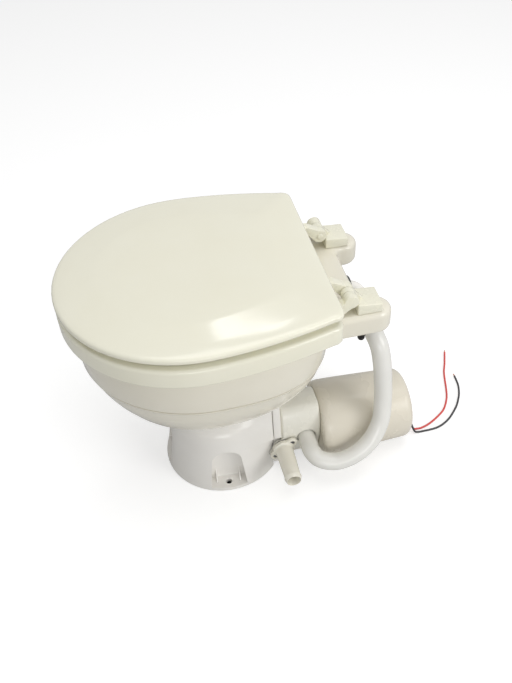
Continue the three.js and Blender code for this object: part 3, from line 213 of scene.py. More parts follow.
def skin(name, rings, caps=(True, True), loop=False):
    """A mesh through rings of equally many points, its ends closed or its last ring joined to the first."""
    count = len(rings[0])
    points = [p for ring in rings for p in ring]
    faces = []
    for step in range(len(rings) if loop else len(rings) - 1):
        a = step * count
        b = ((step + 1) % len(rings)) * count
        for i in range(count):
            j = (i + 1) % count
            faces.append((a + i, a + j, b + j, b + i))
    for cap, start, ring in ((caps[0], 0, rings[0]), (caps[1], (len(rings) - 1) * count, rings[-1])):
        if cap and not loop:
            faces += [tuple(start + corner for corner in corners) for corners in tessellate_polygon([ring])]
    mesh = bpy.data.meshes.new(name)
    mesh.from_pydata([tuple(p) for p in points], [], faces)
    work = bmesh.new()
    work.from_mesh(mesh)
    bmesh.ops.remove_doubles(work, verts=work.verts, dist=1e-6)
    bmesh.ops.dissolve_degenerate(work, edges=work.edges, dist=1e-7)
    bmesh.ops.recalc_face_normals(work, faces=work.faces)
    work.to_mesh(mesh)
    work.free()
    return mesh


def sweep(name, route, radii, sides):
    """A round rod along a route, its radius given once or for each point."""
    radii = radii if isinstance(radii, list) else [radii] * len(route)
    ends = [route[0], *route, route[-1]]
    tangents = [(after - before).normalized() for before, after in zip(ends, ends[2:])]
    side = tangents[0].orthogonal().normalized()
    rings = []
    for centre, ahead, radius in zip(route, tangents, radii):
        side = (side - ahead * side.dot(ahead)).normalized()
        other = ahead.cross(side)
        turns = [2 * math.pi * i / sides for i in range(sides)]
        rings.append([centre + (side * math.cos(t) + other * math.sin(t)) * radius for t in turns])
    return skin(name, rings)


def coated(name, base, shade, patch, rough, swing=0.05, grain=0.4, relief=0.02, **sockets):
    """A moulded, glazed or turned skin: two near colours in soft patches, uneven gloss and a fine relief.

    Patch, grain and relief are their real sizes in mm, and swing is how far the roughness goes up and down.
    """
    material, tree = blank(name)
    where = node(tree, "ShaderNodeTexCoord").outputs["Object"]
    patches = node(tree, "ShaderNodeTexNoise", {"Vector": where, "Scale": 1000 / patch, "Detail": 3.0})
    tint = node(tree, "ShaderNodeMix", {
        0: patches.outputs["Fac"], 6: linear(base), 7: linear(shade),
    }, data_type="RGBA")
    gloss = node(tree, "ShaderNodeMapRange", {
        "Value": patches.outputs["Fac"], "From Min": 0.3, "From Max": 0.7,
        "To Min": rough - swing, "To Max": rough + swing,
    })
    fine = node(tree, "ShaderNodeTexNoise", {"Vector": where, "Scale": 1000 / grain, "Detail": 2.0})
    bump = node(tree, "ShaderNodeBump", {
        "Height": fine.outputs["Fac"], "Strength": 0.35, "Distance": relief / 1000,
    })
    shader = node(tree, "ShaderNodeBsdfPrincipled", {
        "Base Color": tint.outputs[2], "Roughness": gloss.outputs["Result"],
        "Normal": bump.outputs["Normal"], **sockets,
    })
    node(tree, "ShaderNodeOutputMaterial", {"Surface": shader.outputs[0]})
    return material


lead_routes = {
    "red": [
        (45, 256, 34), (45.2, 271, 33.5), (45.5, 277, 20), (46, 283, 5), (45.5, 290, 1.7), (45, 298, 1.6),
        (40, 312, 1.6), (30, 329, 1.6), (20, 342, 1.6), (8, 351, 1.6), (-5, 358, 1.6), (-22, 364, 1.6),
        (-39, 369, 1.6), (-57, 375, 1.6), (-74, 383, 1.6), (-98, 393, 1.6),
    ],
    "black": [
        (51, 256, 34), (51, 271, 33.5), (51.5, 277, 20), (52, 283, 5), (52, 290, 1.7), (52, 298, 1.6),
        (52, 306, 1.6), (51, 318, 1.6), (47, 330, 1.6), (39, 343, 1.6), (29, 354, 1.6), (17, 365, 1.6),
        (5, 373, 1.6), (-6, 379, 1.6), (-20, 384, 1.6), (-31, 386, 1.6), (-43, 387, 1.6),
    ],
}
# A tip starts inside its lead and ends in a small chamfer.
lead_radius, tip_length = 0.0015, 0.005
tip_radii = [0.0008, 0.0008, 0.0005]
lead_sides, tip_sides = 16, 12
places_per_stop = 8
# Soft PVC is satin, with the slight waviness of an extruded skin.
pvc = {
    "red": coated("extruded_red_pvc", "#D2433F", "#DE5A55", 6, 0.4, grain=0.8, relief=0.03),
    "black": coated("extruded_black_pvc", "#2B2A2C", "#3B3A3C", 6, 0.4, grain=0.8, relief=0.03),
}
# Drawn copper: bright, with faint colour shifts along the wire.
bare_copper = coated("drawn_copper_wire", "#C98555", "#B36A3C", 2, 0.32, 0.08, 0.3, 0.02, Metallic=1.0)
for colour, stops in lead_routes.items():
    route = through_points([at(*p) for p in stops], places_per_stop)
    lead_mesh = sweep("pvc", route, lead_radius, lead_sides)
    wire = finished(colour + "_lead_pvc", lead_mesh, pvc[colour])
    end = route[-1]
    onward = (end - route[-2]).normalized()
    strands = [end - onward * tip_length / 5, end + onward * tip_length * 0.9, end + onward * tip_length]
    tip_mesh = sweep("tip", strands, tip_radii, tip_sides)
    tip = finished(colour + "_lead_tip", tip_mesh, bare_copper)
    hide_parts(colour + "_lead")

# Lid
# One shell of compression-moulded cream thermoset with a polished face: a rolled lip over a set-back skirt,
# a border that rises to a shallow crease and a crowned middle. It is hollow below, with two arm sockets.

# Polished thermoset mirrors softly, and faint waves in its surface bend the highlights a little.
cream = coated("polished_cream_thermoset", "#EFEDDC", "#EBE8D4", 60, 0.12, 0.03, grain=8, relief=0.006)
plan_half, plan_rear_half = 157, 133
plan_front, plan_rear = -183, 139
plan_corner, plan_widest = 13, -22
# The pull that makes a Bezier span a quarter of an ellipse.
quarter_pull = 0.5523


def bezier(stops, steps):
    """Points of a Bezier span, from its first stop up to just before its last."""
    a, b, c, d = (Vector(p) for p in stops)
    return [
        a * (1 - t) ** 3 + 3 * b * t * (1 - t) ** 2 + 3 * c * t ** 2 * (1 - t) + d * t ** 3
        for t in (i / steps for i in range(steps))
    ]


def plan_ring(inset, z, steps=18):
    """The outline of lid and seat: elliptic in front, drawn-in flanks, a straight rear, round corners."""
    wide, rear_wide = plan_half - inset, plan_rear_half - inset
    front, rear = plan_front + inset, plan_rear - inset
    start = rear - plan_corner
    bow, run = plan_widest - front, start - plan_widest
    corner_x = rear_wide - plan_corner
    half = [
        *bezier((
            (0, front), (quarter_pull * wide, front), (wide, plan_widest - quarter_pull * bow),
            (wide, plan_widest),
        ), steps),
        *bezier((
            (wide, plan_widest), (wide, plan_widest + 0.3 * run),
            (rear_wide + 0.1 * run, start - 0.34 * run), (rear_wide, start),
        ), steps),
        *bezier((
            (rear_wide, start), (rear_wide, start + 0.6 * plan_corner),
            (rear_wide - 0.4 * plan_corner, rear), (corner_x, rear),
        ), steps // 2),
    ]
    right = half + [Vector((corner_x - corner_x * i / 6, rear)) for i in range(7)]
    left = [Vector((-p.x, p.y)) for p in reversed(right[1:-1])]
    return [at(p.x, p.y, z) for p in right + left]


crown_inset = 90


def crown_ring(share, z):
    """The border's inner ring drawn in towards the middle of the lid by a share."""
    middle = at(0, plan_widest, z)
    return [middle.lerp(p, share) for p in plan_ring(crown_inset, z)]


# Insets from the outline and heights, from the skirt's inner side round the lip to the border's inner edge.
lid_face = [
    (13.4, 337.2), (13.4, 324.7), (13, 324.3), (10.6, 324.3), (10, 324.9), (10, 330.6), (9.2, 331.6),
    (7.5, 332), (1.2, 332), (0.4, 332.3), (0, 333.2), (0, 335.4), (0.2, 336.8), (0.8, 338), (1.8, 339),
    (3.2, 339.7), (5, 340.2), (8, 340.8), (20, 342.1), (34, 343.4), (46.5, 344.8), (49, 345.05), (51, 345.2),
    (64, 345.8), (78, 346.3),
]
lid_crown = [(1, 346.6), (0.75, 346.85), (0.5, 346.95), (0.25, 347), (0, 347)]
lid_hollow = [(15.5, 338.1), (20, 338.7), (40, 340.4), (60, 342), (78, 342.8)]
hollow_middle = 343.4
rings = [crown_ring(share, hollow_middle) for share in (0, 0.5, 1)]
rings += [plan_ring(inset, z) for inset, z in [*reversed(lid_hollow), *lid_face]]
rings += [crown_ring(share, z) for share, z in lid_crown]
lid_mesh = skin("lid_shell", rings, caps=(False, False))
lid_piece = finished("lid_shell", lid_mesh, cream, "lid", 50)
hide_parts("lid")


def slab(name, outline, axis, low, high, round_=1.0, steps=3):
    """A flat outline in mm, given in the two other axes' order, pulled along one axis, its edges rounded."""
    place = {
        "x": lambda a, b, h: at(h, a, b),
        "y": lambda a, b, h: at(a, h, b),
        "z": lambda a, b, h: at(a, b, h),
    }[axis]
    work = bmesh.new()
    ends = [[work.verts.new(place(a, b, h)) for a, b in outline] for h in (low, high)]
    work.faces.new(list(reversed(ends[0])))
    work.faces.new(ends[1])
    for i in range(len(outline)):
        j = (i + 1) % len(outline)
        work.faces.new((ends[0][i], ends[0][j], ends[1][j], ends[1][i]))
    bmesh.ops.recalc_face_normals(work, faces=work.faces)
    if round_:
        bmesh.ops.bevel(
            work, geom=[e for e in work.edges if e.calc_face_angle(0) > math.radians(28)],
            offset=round_ / 1000, segments=steps, profile=0.5, affect="EDGES", clamp_overlap=True,
        )
    mesh = bpy.data.meshes.new(name)
    work.to_mesh(mesh)
    work.free()
    return mesh


def block_outline(low_a, low_b, high_a, high_b):
    """The four corners of a plain rectangle."""
    return [(low_a, low_b), (high_a, low_b), (high_a, high_b), (low_a, high_b)]


socket_sides = (49.1, 67.7)
for label, side in (("left", -1), ("right", 1)):
    across = sorted(side * x for x in socket_sides)
    socket_mesh = slab("socket", block_outline(110, 325.2, 133.6, 337.4), "x", *across, 1, 3)
    finished("lid_socket_" + label, socket_mesh, cream, "lid")

# Seat
# A thick ring of the same plastic as the lid, moulded with a well rounded top edge and a flat sole.
# Its rear face has a pocket for each hinge arm.
hole_half, hole_rear, hole_front, hole_middle = 94, 100, 116, -12
hole_long = (hole_rear + hole_front) / 2
hole_points, seat_points = 96, 160
seat_low, seat_high = 295, 321.5
sole_round, outer_round, hole_round = 3.5, 5, 7
seat_hole = []
for i in range(hole_points):
    angle = 2 * math.pi * i / hole_points
    c, s = -math.cos(angle), math.sin(angle)
    seat_hole.append((hole_half * s, hole_middle + (hole_rear if c > 0 else hole_front) * c))


def hole_ring(grow, z):
    """The seat's hole at a height, larger all round by so many mm."""
    return [
        at(
            x * (hole_half + grow) / hole_half,
            hole_middle + (y - hole_middle) * (hole_long + grow) / hole_long, z,
        ) for x, y in seat_hole
    ]


def matched(ring, count):
    """The ring again with evenly spaced points, starting at its first point."""
    closed = [*ring, ring[0]]
    lengths = [0]
    for a, b in zip(closed, closed[1:]):
        lengths.append(lengths[-1] + (b - a).length)
    made, span = [], 0
    for i in range(count):
        goal = lengths[-1] * i / count
        while lengths[span + 1] < goal:
            span += 1
        share = (goal - lengths[span]) / (lengths[span + 1] - lengths[span])
        made.append(closed[span].lerp(closed[span + 1], share))
    return made


def edge_turn(radius, steps):
    """Insets and drops of a quarter round, from the side up to the top."""
    turns = [math.radians(90 * k / steps) for k in range(steps + 1)]
    return [(radius * (1 - math.cos(t)), radius * (1 - math.sin(t))) for t in turns]


def carve(mesh, tools, mode="DIFFERENCE"):
    """The mesh with other meshes cut away, or joined on, as plain mesh data."""
    target = bpy.data.objects.new("blank", mesh)
    scene.collection.objects.link(target)
    helpers = []
    for tool in tools:
        helper = bpy.data.objects.new("cutter", tool)
        scene.collection.objects.link(helper)
        helpers.append(helper)
        step = target.modifiers.new("cut", "BOOLEAN")
        step.operation = mode
        step.solver = "EXACT"
        step.object = helper
    graph = bpy.context.evaluated_depsgraph_get()
    made = bpy.data.meshes.new_from_object(target.evaluated_get(graph))
    for used in (target, *helpers):
        bpy.data.objects.remove(used)
    return made


sole = [(inset, seat_low + drop) for inset, drop in reversed(edge_turn(sole_round, 5))]
seat_levels = sole + [(inset, seat_high - drop) for inset, drop in edge_turn(outer_round, 8)]
hole_levels = sole + [(inset, seat_high - drop) for inset, drop in edge_turn(hole_round, 7)]
outer = [matched(plan_ring(inset, z), seat_points) for inset, z in seat_levels]
inner = [matched(hole_ring(inset, z), seat_points) for inset, z in reversed(hole_levels)]
pocket_sides = (73.3, 85.9)
pockets = [
    slab("pocket", block_outline(112.7, 300.7, 150, 309.3), "x", *sorted(side * x for x in pocket_sides), 0)
    for side in (-1, 1)
]
mesh = carve(skin("seat_ring", outer + inner, loop=True), pockets)
seat_piece = finished("seat_ring", mesh, cream, "seat")
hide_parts("seat")

# Bowl
# Slip-cast vitreous china under a clear glaze, in one piece: a belly that widens over a small ledge to a
# box rim, a drain in its foot, a flat deck with two round hinge ears, and a boss for the rinse water.

# Clear glaze over china mirrors sharply, and it lies in faint waves where it flowed in the kiln.
china = coated("glazed_vitreous_china", "#E9E5D7", "#E3DECE", 45, 0.07, 0.02, grain=6, relief=0.01)
bowl_middle = -12
belly_half, belly_front, belly_rear = 102, -120, 122
rim_half, rim_front, rim_rear = 144, -168, 143
rim_squareness = 0.8
drain_radius = 26
mouth_half, mouth_front, mouth_rear = 97, -122, 92
deck_bottom, deck_top = 258, 292
ear_x, ear_y, ear_radius = 70, 196, 20
hinge_x, stud_y = 69, 181
water_axis = (0, 0, 266)


def egg(z, half, front, rear, power=2.0, middle=bowl_middle, count=128):
    """A closed curve, elliptic in front of its middle and squarer behind it as the power grows past 2."""
    ring = []
    for i in range(count):
        angle = 2 * math.pi * i / count
        c, s = -math.cos(angle), math.sin(angle)
        e = 2 / power if c > 0 else 1
        x = half * math.copysign(abs(s) ** e, s)
        y = middle + (rear - middle if c > 0 else middle - front) * math.copysign(abs(c) ** e, c)
        ring.append(at(x, y, z))
    return ring


def belly(z, inset, share):
    """The outside at a height, gone over from the belly's round bottom to the box rim by a share."""
    return egg(
        z,
        belly_half + (rim_half - belly_half) * share - inset,
        belly_front + (rim_front - belly_front) * share + inset,
        belly_rear + (rim_rear - belly_rear) * share - inset,
        2 + rim_squareness * share,
    )


def basin(z, grow, share):
    """The inside at a height, gone over from drain to mouth by a share and undercut by so many mm."""
    return egg(
        z,
        drain_radius + (mouth_half - drain_radius + grow) * share,
        -drain_radius + (mouth_front + drain_radius - grow) * share,
        drain_radius + (mouth_rear - drain_radius + grow) * share,
        2, bowl_middle * share,
    )


def round_ring(z, radius):
    """A circle about the pedestal's axis, with as many points as the other rings."""
    return egg(z, radius, -radius, radius, 2, 0)


# Height, inset and share of each ring, from the seam on the pedestal up over the ledge to the rim's top.
belly_levels = [
    (166, 12, 0), (166.4, 7.5, 0), (167.4, 4.2, 0.04), (169, 1.8, 0.1), (171.7, 0.3, 0.25), (176, 0, 0.34),
    (181, 0, 0.42), (188, 0, 0.51), (197, 0, 0.63), (206, 0, 0.725), (215, 0, 0.81), (223, 0.2, 0.87),
    (229, 0.4, 0.92), (232.6, 0.7, 0.96), (233.8, 0.9, 0.98), (234.5, 1.3, 0.985), (234.9, 2.2, 0.99),
    (235.2, 4.2, 0.99), (237.7, 4.6, 1), (237.9, 1.2, 1), (238.2, 0.3, 1), (239, 0, 1), (262, 0, 1),
    (286, 0, 1), (288.7, 0.5, 1), (290.7, 1.7, 1), (291.7, 3.3, 1), (deck_top, 5.5, 1),
]
# Height, undercut and share of each ring, from the drain up under the rim and out of the mouth.
basin_levels = [
    (178.6, 34, 0.08), (180, 34, 0.22), (182, 34, 0.38), (185, 34, 0.54), (189, 34, 0.66), (195, 34, 0.77),
    (203, 34, 0.85), (213, 34, 0.9), (225, 34, 0.935), (240, 34, 0.97), (252, 34, 0.99), (260, 31, 1),
    (263.5, 22, 1), (267.2, 5, 1), (268.6, 1.2, 1), (271, 0, 1), (287, 0, 1), (289.6, 0.5, 1), (291.3, 2, 1),
    (deck_top, 5, 1), (296, 6, 1),
]
outside_rings = [round_ring(152, 57), round_ring(153, 58), round_ring(165, 58), round_ring(166, 59.5)]
outside_rings += [belly(*ring_level) for ring_level in belly_levels]
hollow_rings = [round_ring(150, 25.4), round_ring(174, 25.4), round_ring(177, drain_radius)]
hollow_rings += [basin(*ring_level) for ring_level in basin_levels]


def arc(a, b, radius, start, stop, steps):
    """Points on a circle about a and b, from one angle to another in degrees."""
    return [
        (a + radius * math.cos(t), b + radius * math.sin(t))
        for t in (math.radians(start + (stop - start) * k / steps) for k in range(steps + 1))
    ]


def turned(name, profile, axis, centre, sides=64, loop=False):
    """A turned piece about an axis through the centre; profile points are radius and place along it."""
    x, y, z = centre
    place = {
        "x": lambda r, h, t: at(h, y + r * math.cos(t), z + r * math.sin(t)),
        "y": lambda r, h, t: at(x + r * math.cos(t), h, z + r * math.sin(t)),
        "z": lambda r, h, t: at(x + r * math.cos(t), y + r * math.sin(t), h),
    }[axis]
    rings = [[place(r, h, 2 * math.pi * k / sides) for k in range(sides)] for r, h in profile]
    caps = (not loop and profile[0][0] > 0, not loop and profile[-1][0] > 0)
    return skin(name, rings, caps=caps, loop=loop)


# Two ears behind the deck, with a small round in each corner between ear and rear edge.
deck_outline = [
    (-90, 118), (90, 118), *arc(ear_x, ear_y, ear_radius, 0, 180, 28), (50, 191),
    *arc(41, 191, 9, 0, -90, 8)[1:], *arc(-41, 191, 9, 270, 180, 8),
    *arc(-ear_x, ear_y, ear_radius, 0, 180, 28),
]
deck_slab = slab("deck", deck_outline, "z", deck_bottom, deck_top, 8.5, 7)
boss_profile = [(0, 100), (17, 100), (17, 181), (16.4, 182), (15, 182.4), (0, 182.4)]
bore_profile = [(0, 142), (11.3, 142), (11.3, 181.6), (12.2, 182.6), (12.2, 190), (0, 190)]
stud_profile = [(0, 250), (3.8, 250), (3.8, 300), (0, 300)]
inlet_boss = turned("boss", boss_profile, "y", water_axis)
water_bore = turned("bore", bore_profile, "y", water_axis)
stud_holes = [turned("hole", stud_profile, "z", (hinge_x * side, stud_y, 0), 24) for side in (-1, 1)]
# The outside is joined solid first and hollowed last, so that the deck leaves nothing in the basin.
mesh = carve(skin("bowl_outside", outside_rings), [deck_slab, inlet_boss], "UNION")
mesh = carve(mesh, [skin("bowl_hollow", hollow_rings), water_bore, *stud_holes])
bowl_piece = finished("bowl_body", mesh, china, sharp=42)
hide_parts("bowl")

# Hinges
# Two hinges moulded in cream nylon and bolted through the ears. Each has a flat block with an eye on it,
# one arm let into the lid and one into the seat, all on a pin with a round cream head.

# Unpolished nylon is satin, with the fine grain of its mould.
hinge_cream = coated("moulded_cream_nylon", "#EDEBDA", "#E7E4D0", 12, 0.26, 0.05, grain=0.5, relief=0.01)
eye_y, eye_z, eye_radius = 161, 314, 9
lid_arm = [*arc(eye_y, eye_z, eye_radius, -150, 100, 30), (145, 331), (113, 331), (113, 326), (139, 326)]
seat_arm = [
    *arc(eye_y, eye_z, eye_radius, -90, 180, 32),
    (139.3, 309), (113, 309), (113, 301), (139.3, 301), (139.3, 298), (152, 298),
]
lug = [*arc(eye_y, eye_z, eye_radius, 20, 240, 26), (171, 294), (181, 294), (181, 305)]
block = [(169, 292.3), (200, 292.3), (200, 305), (169, 307.5)]
block_half = 17
# Along the pin, from its head outwards: the lid's eye, the block's and the seat's, with gaps between.
first_slice, slice_gap = -16.6, 0.6
slice_widths = (("lid", 12), ("lug", 8), ("seat", 12))
pin_radius, pin_end = 3, 15
for label, side in (("left", -1), ("right", 1)):
    middle = hinge_x * side
    spans = {}
    start = first_slice
    for slice_, width in slice_widths:
        spans[slice_] = sorted((middle + side * start, middle + side * (start + width)))
        start += width + slice_gap
    shapes = (
        ("hinge_block_", block, (middle - block_half, middle + block_half), 1.6, "stand", "hinge_base_"),
        ("hinge_eye_", lug, spans["lug"], 0.7, "stand", None),
        ("lid_hinge_arm_", lid_arm, spans["lid"], 0.7, "lid", "lid_arm_"),
        ("seat_hinge_arm_", seat_arm, spans["seat"], 0.7, "seat", "seat_arm_"),
    )
    for name, outline, span, round_, body, stood_for in shapes:
        mesh = slab(name, outline, "x", *span, round_, 3)
        piece = finished(name + label, mesh, hinge_cream, body)
        if stood_for:
            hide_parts(stood_for + label)
    face = middle - side * 16.9
    pin_profile = [
        (0, face - side * 1.4), (3, face - side * 1.3), (4, face - side * 0.9), (4.4, face - side * 0.3),
        (4.4, face), (pin_radius, face), (pin_radius, middle + side * (pin_end - 0.3)),
        (2.6, middle + side * pin_end), (0, middle + side * pin_end),
    ]
    pin_mesh = turned("pin", pin_profile, "x", (0, eye_y, eye_z), 40)
    pin = finished("hinge_pin_body_" + label, pin_mesh, hinge_cream)
    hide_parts("hinge_pin_" + label)


# Hinge nuts
# Black nylon hand nuts, closed below over stainless studs and turned up against a washer.
# Each has twelve short grip ribs round its upper part.
def grown(name, sizes, build, material):
    """A plain mesh made by Geometry Nodes: build draws the tree from the named sizes to its geometry."""
    tree = bpy.data.node_groups.new(name, "GeometryNodeTree")
    items = [tree.interface.new_socket(key, in_out="INPUT", socket_type={
        int: "NodeSocketInt", float: "NodeSocketFloat", tuple: "NodeSocketVector",
    }[type(value)]) for key, value in sizes.items()]
    tree.interface.new_socket("Mesh", in_out="OUTPUT", socket_type="NodeSocketGeometry")
    entry = node(tree, "NodeGroupInput")
    shape = build(tree, {key: entry.outputs[key] for key in sizes})
    whole = node(tree, "GeometryNodeRealizeInstances", {0: shape})
    painted = node(tree, "GeometryNodeSetMaterial", {"Geometry": whole.outputs[0], "Material": material})
    node(tree, "NodeGroupOutput", {0: painted.outputs[0]})
    carrier = bpy.data.objects.new(name, bpy.data.meshes.new(name))
    scene.collection.objects.link(carrier)
    modifier = carrier.modifiers.new("grown", "NODES")
    modifier.node_group = tree
    for item, value in zip(items, sizes.values()):
        modifier[item.identifier] = value
    graph = bpy.context.evaluated_depsgraph_get()
    made = bpy.data.meshes.new_from_object(carrier.evaluated_get(graph))
    bpy.data.objects.remove(carrier)
    return made


def placed(mesh, place, turn=Matrix()):
    """The mesh turned, then moved to a place given in mm."""
    mesh.transform(Matrix.Translation(at(*place)) @ turn.to_4x4())
    return mesh


def nut_tree(tree, size):
    """Grip ribs on a circle, pressed half into the nut's side."""
    ring = node(tree, "GeometryNodeMeshCircle", {"Vertices": size["Ribs"], "Radius": size["Ring radius"]})
    rib = node(tree, "GeometryNodeMeshUVSphere", {"Segments": 10, "Rings": 8, "Radius": size["Rib radius"]})
    tall = node(tree, "GeometryNodeTransform", {
        "Geometry": rib.outputs["Mesh"], "Scale": size["Rib stretch"],
    })
    return node(tree, "GeometryNodeInstanceOnPoints", {
        "Points": ring.outputs["Mesh"], "Instance": tall.outputs[0],
    }).outputs[0]


# Glass-filled nylon: dark and nearly matt, with a fine speckle from the fibres.
black_nylon = coated(
    "moulded_black_nylon", "#0B0B0C", "#131314", 10, 0.55, 0.06, grain=0.5, relief=0.02,
    **{"Specular IOR Level": 0.25},
)
nut_profile = [
    (0, 236.2), (2.4, 236.4), (3.8, 237.3), (4.5, 238.8), (4.7, 241), (4.8, 244.6), (6, 245.4), (6, 249),
    (6.3, 252), (6.3, 255), (6, 255.6), (3.8, 255.6), (3.8, 239), (2.6, 237.8), (0, 237.6),
]
rib_middle = 250.4
nut_ribs = {"Ribs": 12, "Ring radius": 0.006, "Rib radius": 0.0009, "Rib stretch": (1.0, 1.0, 4.6)}
for label, side in (("left", -1), ("right", 1)):
    body = turned("nut", nut_profile, "z", (hinge_x * side, stud_y, 0), 48)
    nut_piece = finished("hand_nut_" + label, body, black_nylon)
    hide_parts("hinge_nut_" + label)
    rib_mesh = grown("hand_nut_ribs", nut_ribs, nut_tree, black_nylon)
    ribs = placed(rib_mesh, (hinge_x * side, stud_y, rib_middle))
    finished("hand_nut_ribs_" + label, ribs, black_nylon)

# Pedestal
# A hollow stand injection-moulded in glossy white plastic: a slightly conical foot, a domed shoulder, a neck
# and a flange under the bowl. Arched recesses hold the floor bolts, and its side flares into a flat pad.

# Polypropylene from a polished mould is glossy, a little uneven where it shrank.
white_gloss = coated(
    "moulded_white_polypropylene", "#F3F1EC", "#EEEBE5", 30, 0.15, 0.04, grain=1.2, relief=0.008,
)
foot_axis = (0, 0, 0)
stand_outside = [
    (0, 0), (84.4, 0), (85, 0.6), (85, 3), (84.7, 4.4), (78.2, 41), (71.5, 79), (71, 83), (70.1, 88.4),
    (68.4, 93.6), (65.8, 98.4), (62, 103), (57.4, 107.2), (53, 110.1), (50.2, 112), (48.6, 114), (48, 116.5),
    (48, 140.6), (48.6, 142.3), (50.5, 143), (61.2, 143), (62, 143.8), (62, 149.2), (61.2, 150), (0, 150),
]
stand_inside = [
    (0, -4), (79, -4), (79, 3), (65, 76), (60, 90), (50, 101), (42, 106), (26, 106), (26, 154), (0, 154),
]
# The pump's pad: its rear face, its left and right edges, its step out and its narrower top.
pad_y, pad_left, pad_right = 64, -6, 56
pad_low, pad_step, pad_top = 6, 67, 124
step_right, top_right = 64, 58
pad_side = [(z, pad_right) for z in range(pad_low, pad_step, 6)]
pad_side += [(pad_step - 0.1, pad_right), (pad_step, step_right)]
pad_side += [
    (z, step_right - (z - pad_step) / (pad_top - pad_step) * (step_right - top_right))
    for z in range(pad_step + 6, pad_top + 1, 6)
]


def side_radius(z):
    """How far the pedestal's round side stands from its axis at a height, read off its profile."""
    for (low, z_low), (high, z_high) in zip(stand_outside, stand_outside[1:]):
        if z_low <= z < z_high:
            return low + (high - low) * (z - z_low) / (z_high - z_low)


# The cheek runs from the pad's edge along the tangent to the round side. Each step has its share of the
# way and how far it is trimmed, which rounds the pad's edge and sinks the far end into the round side.
cheek_steps = (
    (0, 1.4), (0.004, 0.8), (0.012, 0.3), (0.03, 0), (0.25, 0), (0.5, 0), (0.75, 0), (1, 0.05), (1.2, 2),
)
cheek_depth = 44
cheek_rings = []
for share, trim in cheek_steps:
    way = min(share, 1)
    edge_trim = trim if share < 0.1 else 0
    side_trim = trim if share > 0.9 else 0
    cheek_side = []
    for z, edge in pad_side:
        rim = math.hypot(edge, pad_y)
        heading = math.atan2(pad_y, edge) - math.acos(min(1, side_radius(z) / rim))
        x = edge + (side_radius(z) * math.cos(heading) - edge) * way
        y = pad_y + (side_radius(z) * math.sin(heading) - pad_y) * way
        inward = 1 - side_trim / rim
        cheek_side.append((x * inward - edge_trim, y * inward, z))
    top = pad_top - edge_trim
    cheek_side[-1] = (*cheek_side[-1][:2], top)
    y_left = pad_y - cheek_depth * way
    cheek_rings.append([at(*p) for p in [(pad_left, y_left, pad_low), *cheek_side, (pad_left, y_left, top)]])
stand_mesh = turned("stand", stand_outside, "z", foot_axis, 160)
cheek = skin("cheek", cheek_rings)
stand_inner = turned("inside", stand_inside, "z", foot_axis, 96)
stand_solid = carve(stand_mesh, [cheek], "UNION")
rear_wall = slab("rear_wall", block_outline(-110, 58, 110, 110), "z", -9, 160, 0)


def turned_round(mesh, degrees):
    """A copy of the mesh turned about the pedestal's axis."""
    spun = mesh.copy()
    centre = at(*foot_axis)
    about = Matrix.Rotation(math.radians(degrees), 4, "Z")
    spun.transform(Matrix.Translation(centre) @ about @ Matrix.Translation(-centre))
    return spun


# A recess: half its width at the floor and where its arch starts, the height there and the arch's rise.
recess_half, arch_half, arch_start, arch_rise = 26, 21, 52, 18
recess_floor, foot_below = 6, -9
arch_steps = 28
recess_angles = (-4.5, -94.5, 175.5)
lining_wall = 4
bolt_circle = 73


def arch(grow, floor_):
    """The outline of a recess, larger all round by so many mm, down to a floor."""
    return [(-recess_half - grow, floor_), (recess_half + grow, floor_), (arch_half + grow, arch_start)] + [
        ((arch_half + grow) * math.cos(t), arch_start + (arch_rise + grow) * math.sin(t))
        for t in (math.pi * k / arch_steps for k in range(1, arch_steps))
    ] + [(-arch_half - grow, arch_start)]


# The discharge port's two screws stand on a slant, and its lower lobe needs room in the pedestal's side.
port_y, port_z = 77.5, 45.5
lobe_reach, lobe_tilt = 16, math.radians(42)
lobes = [
    (port_y + way * lobe_reach * math.cos(lobe_tilt), port_z + way * lobe_reach * math.sin(lobe_tilt))
    for way in (1, -1)
]
motor_x, motor_z = 32, 57

lining = slab("lining", arch(lining_wall, foot_below), "x", 57, 110, 0)
linings = [turned_round(lining, angle) for angle in recess_angles]
pocket = slab("pocket", arch(0, recess_floor), "x", 61, 95, 2, 4)
bolt_profile = [(0, -4), (4.3, -4), (4.3, 5.6), (4.9, 6.2), (4.9, 10), (0, 10)]
bolt_hole = turned("hole", bolt_profile, "z", (bolt_circle, 0, 0), 32)
rear_cut = slab("rear_cut", block_outline(-100, pad_y, 100, 100), "z", -5, 142.5, 0)
port_notch = turned("notch", [(0, 57.5), (8.8, 57.5), (8.8, 100), (0, 100)], "x", (0, *lobes[1]), 48)
pump_bore = turned("bore", [(0, 50), (21.5, 50), (21.5, 70), (0, 70)], "y", (motor_x, 0, motor_z), 48)
# The hollow stops short of the rear wall and of the recesses, which leaves their walls and floors standing.
hollow = carve(stand_inner, [rear_wall, *linings])
tools = [turned_round(tool, angle) for angle in recess_angles for tool in (pocket, bolt_hole)]
stand_mesh = carve(stand_solid, [hollow, *tools, rear_cut, port_notch, pump_bore])
stand = finished("stand_shell", stand_mesh, white_gloss, sharp=32)
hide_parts("base_pedestal")
# Two thin webs stand in each recess, between its floor and its rear wall.
web_outline = [(60, 5.5), (74, 5.5), (60, 22)]
web_place, web_half = 16.5, 1.2
for number, angle in enumerate(recess_angles):
    for label, place in (("left", -web_place), ("right", web_place)):
        web = slab("rib", web_outline, "y", place - web_half, place + web_half, 0.5, 2)
        name = "recess_rib_%d_%s" % (number + 1, label)
        finished(name, turned_round(web, angle), white_gloss)

# Pump
# A front plate in the pedestal's white plastic and behind it a faceted case moulded in satin acetal. It has
# a flush boss for the waste outlet, a round socket for the rinse hose and a tail for the water intake.

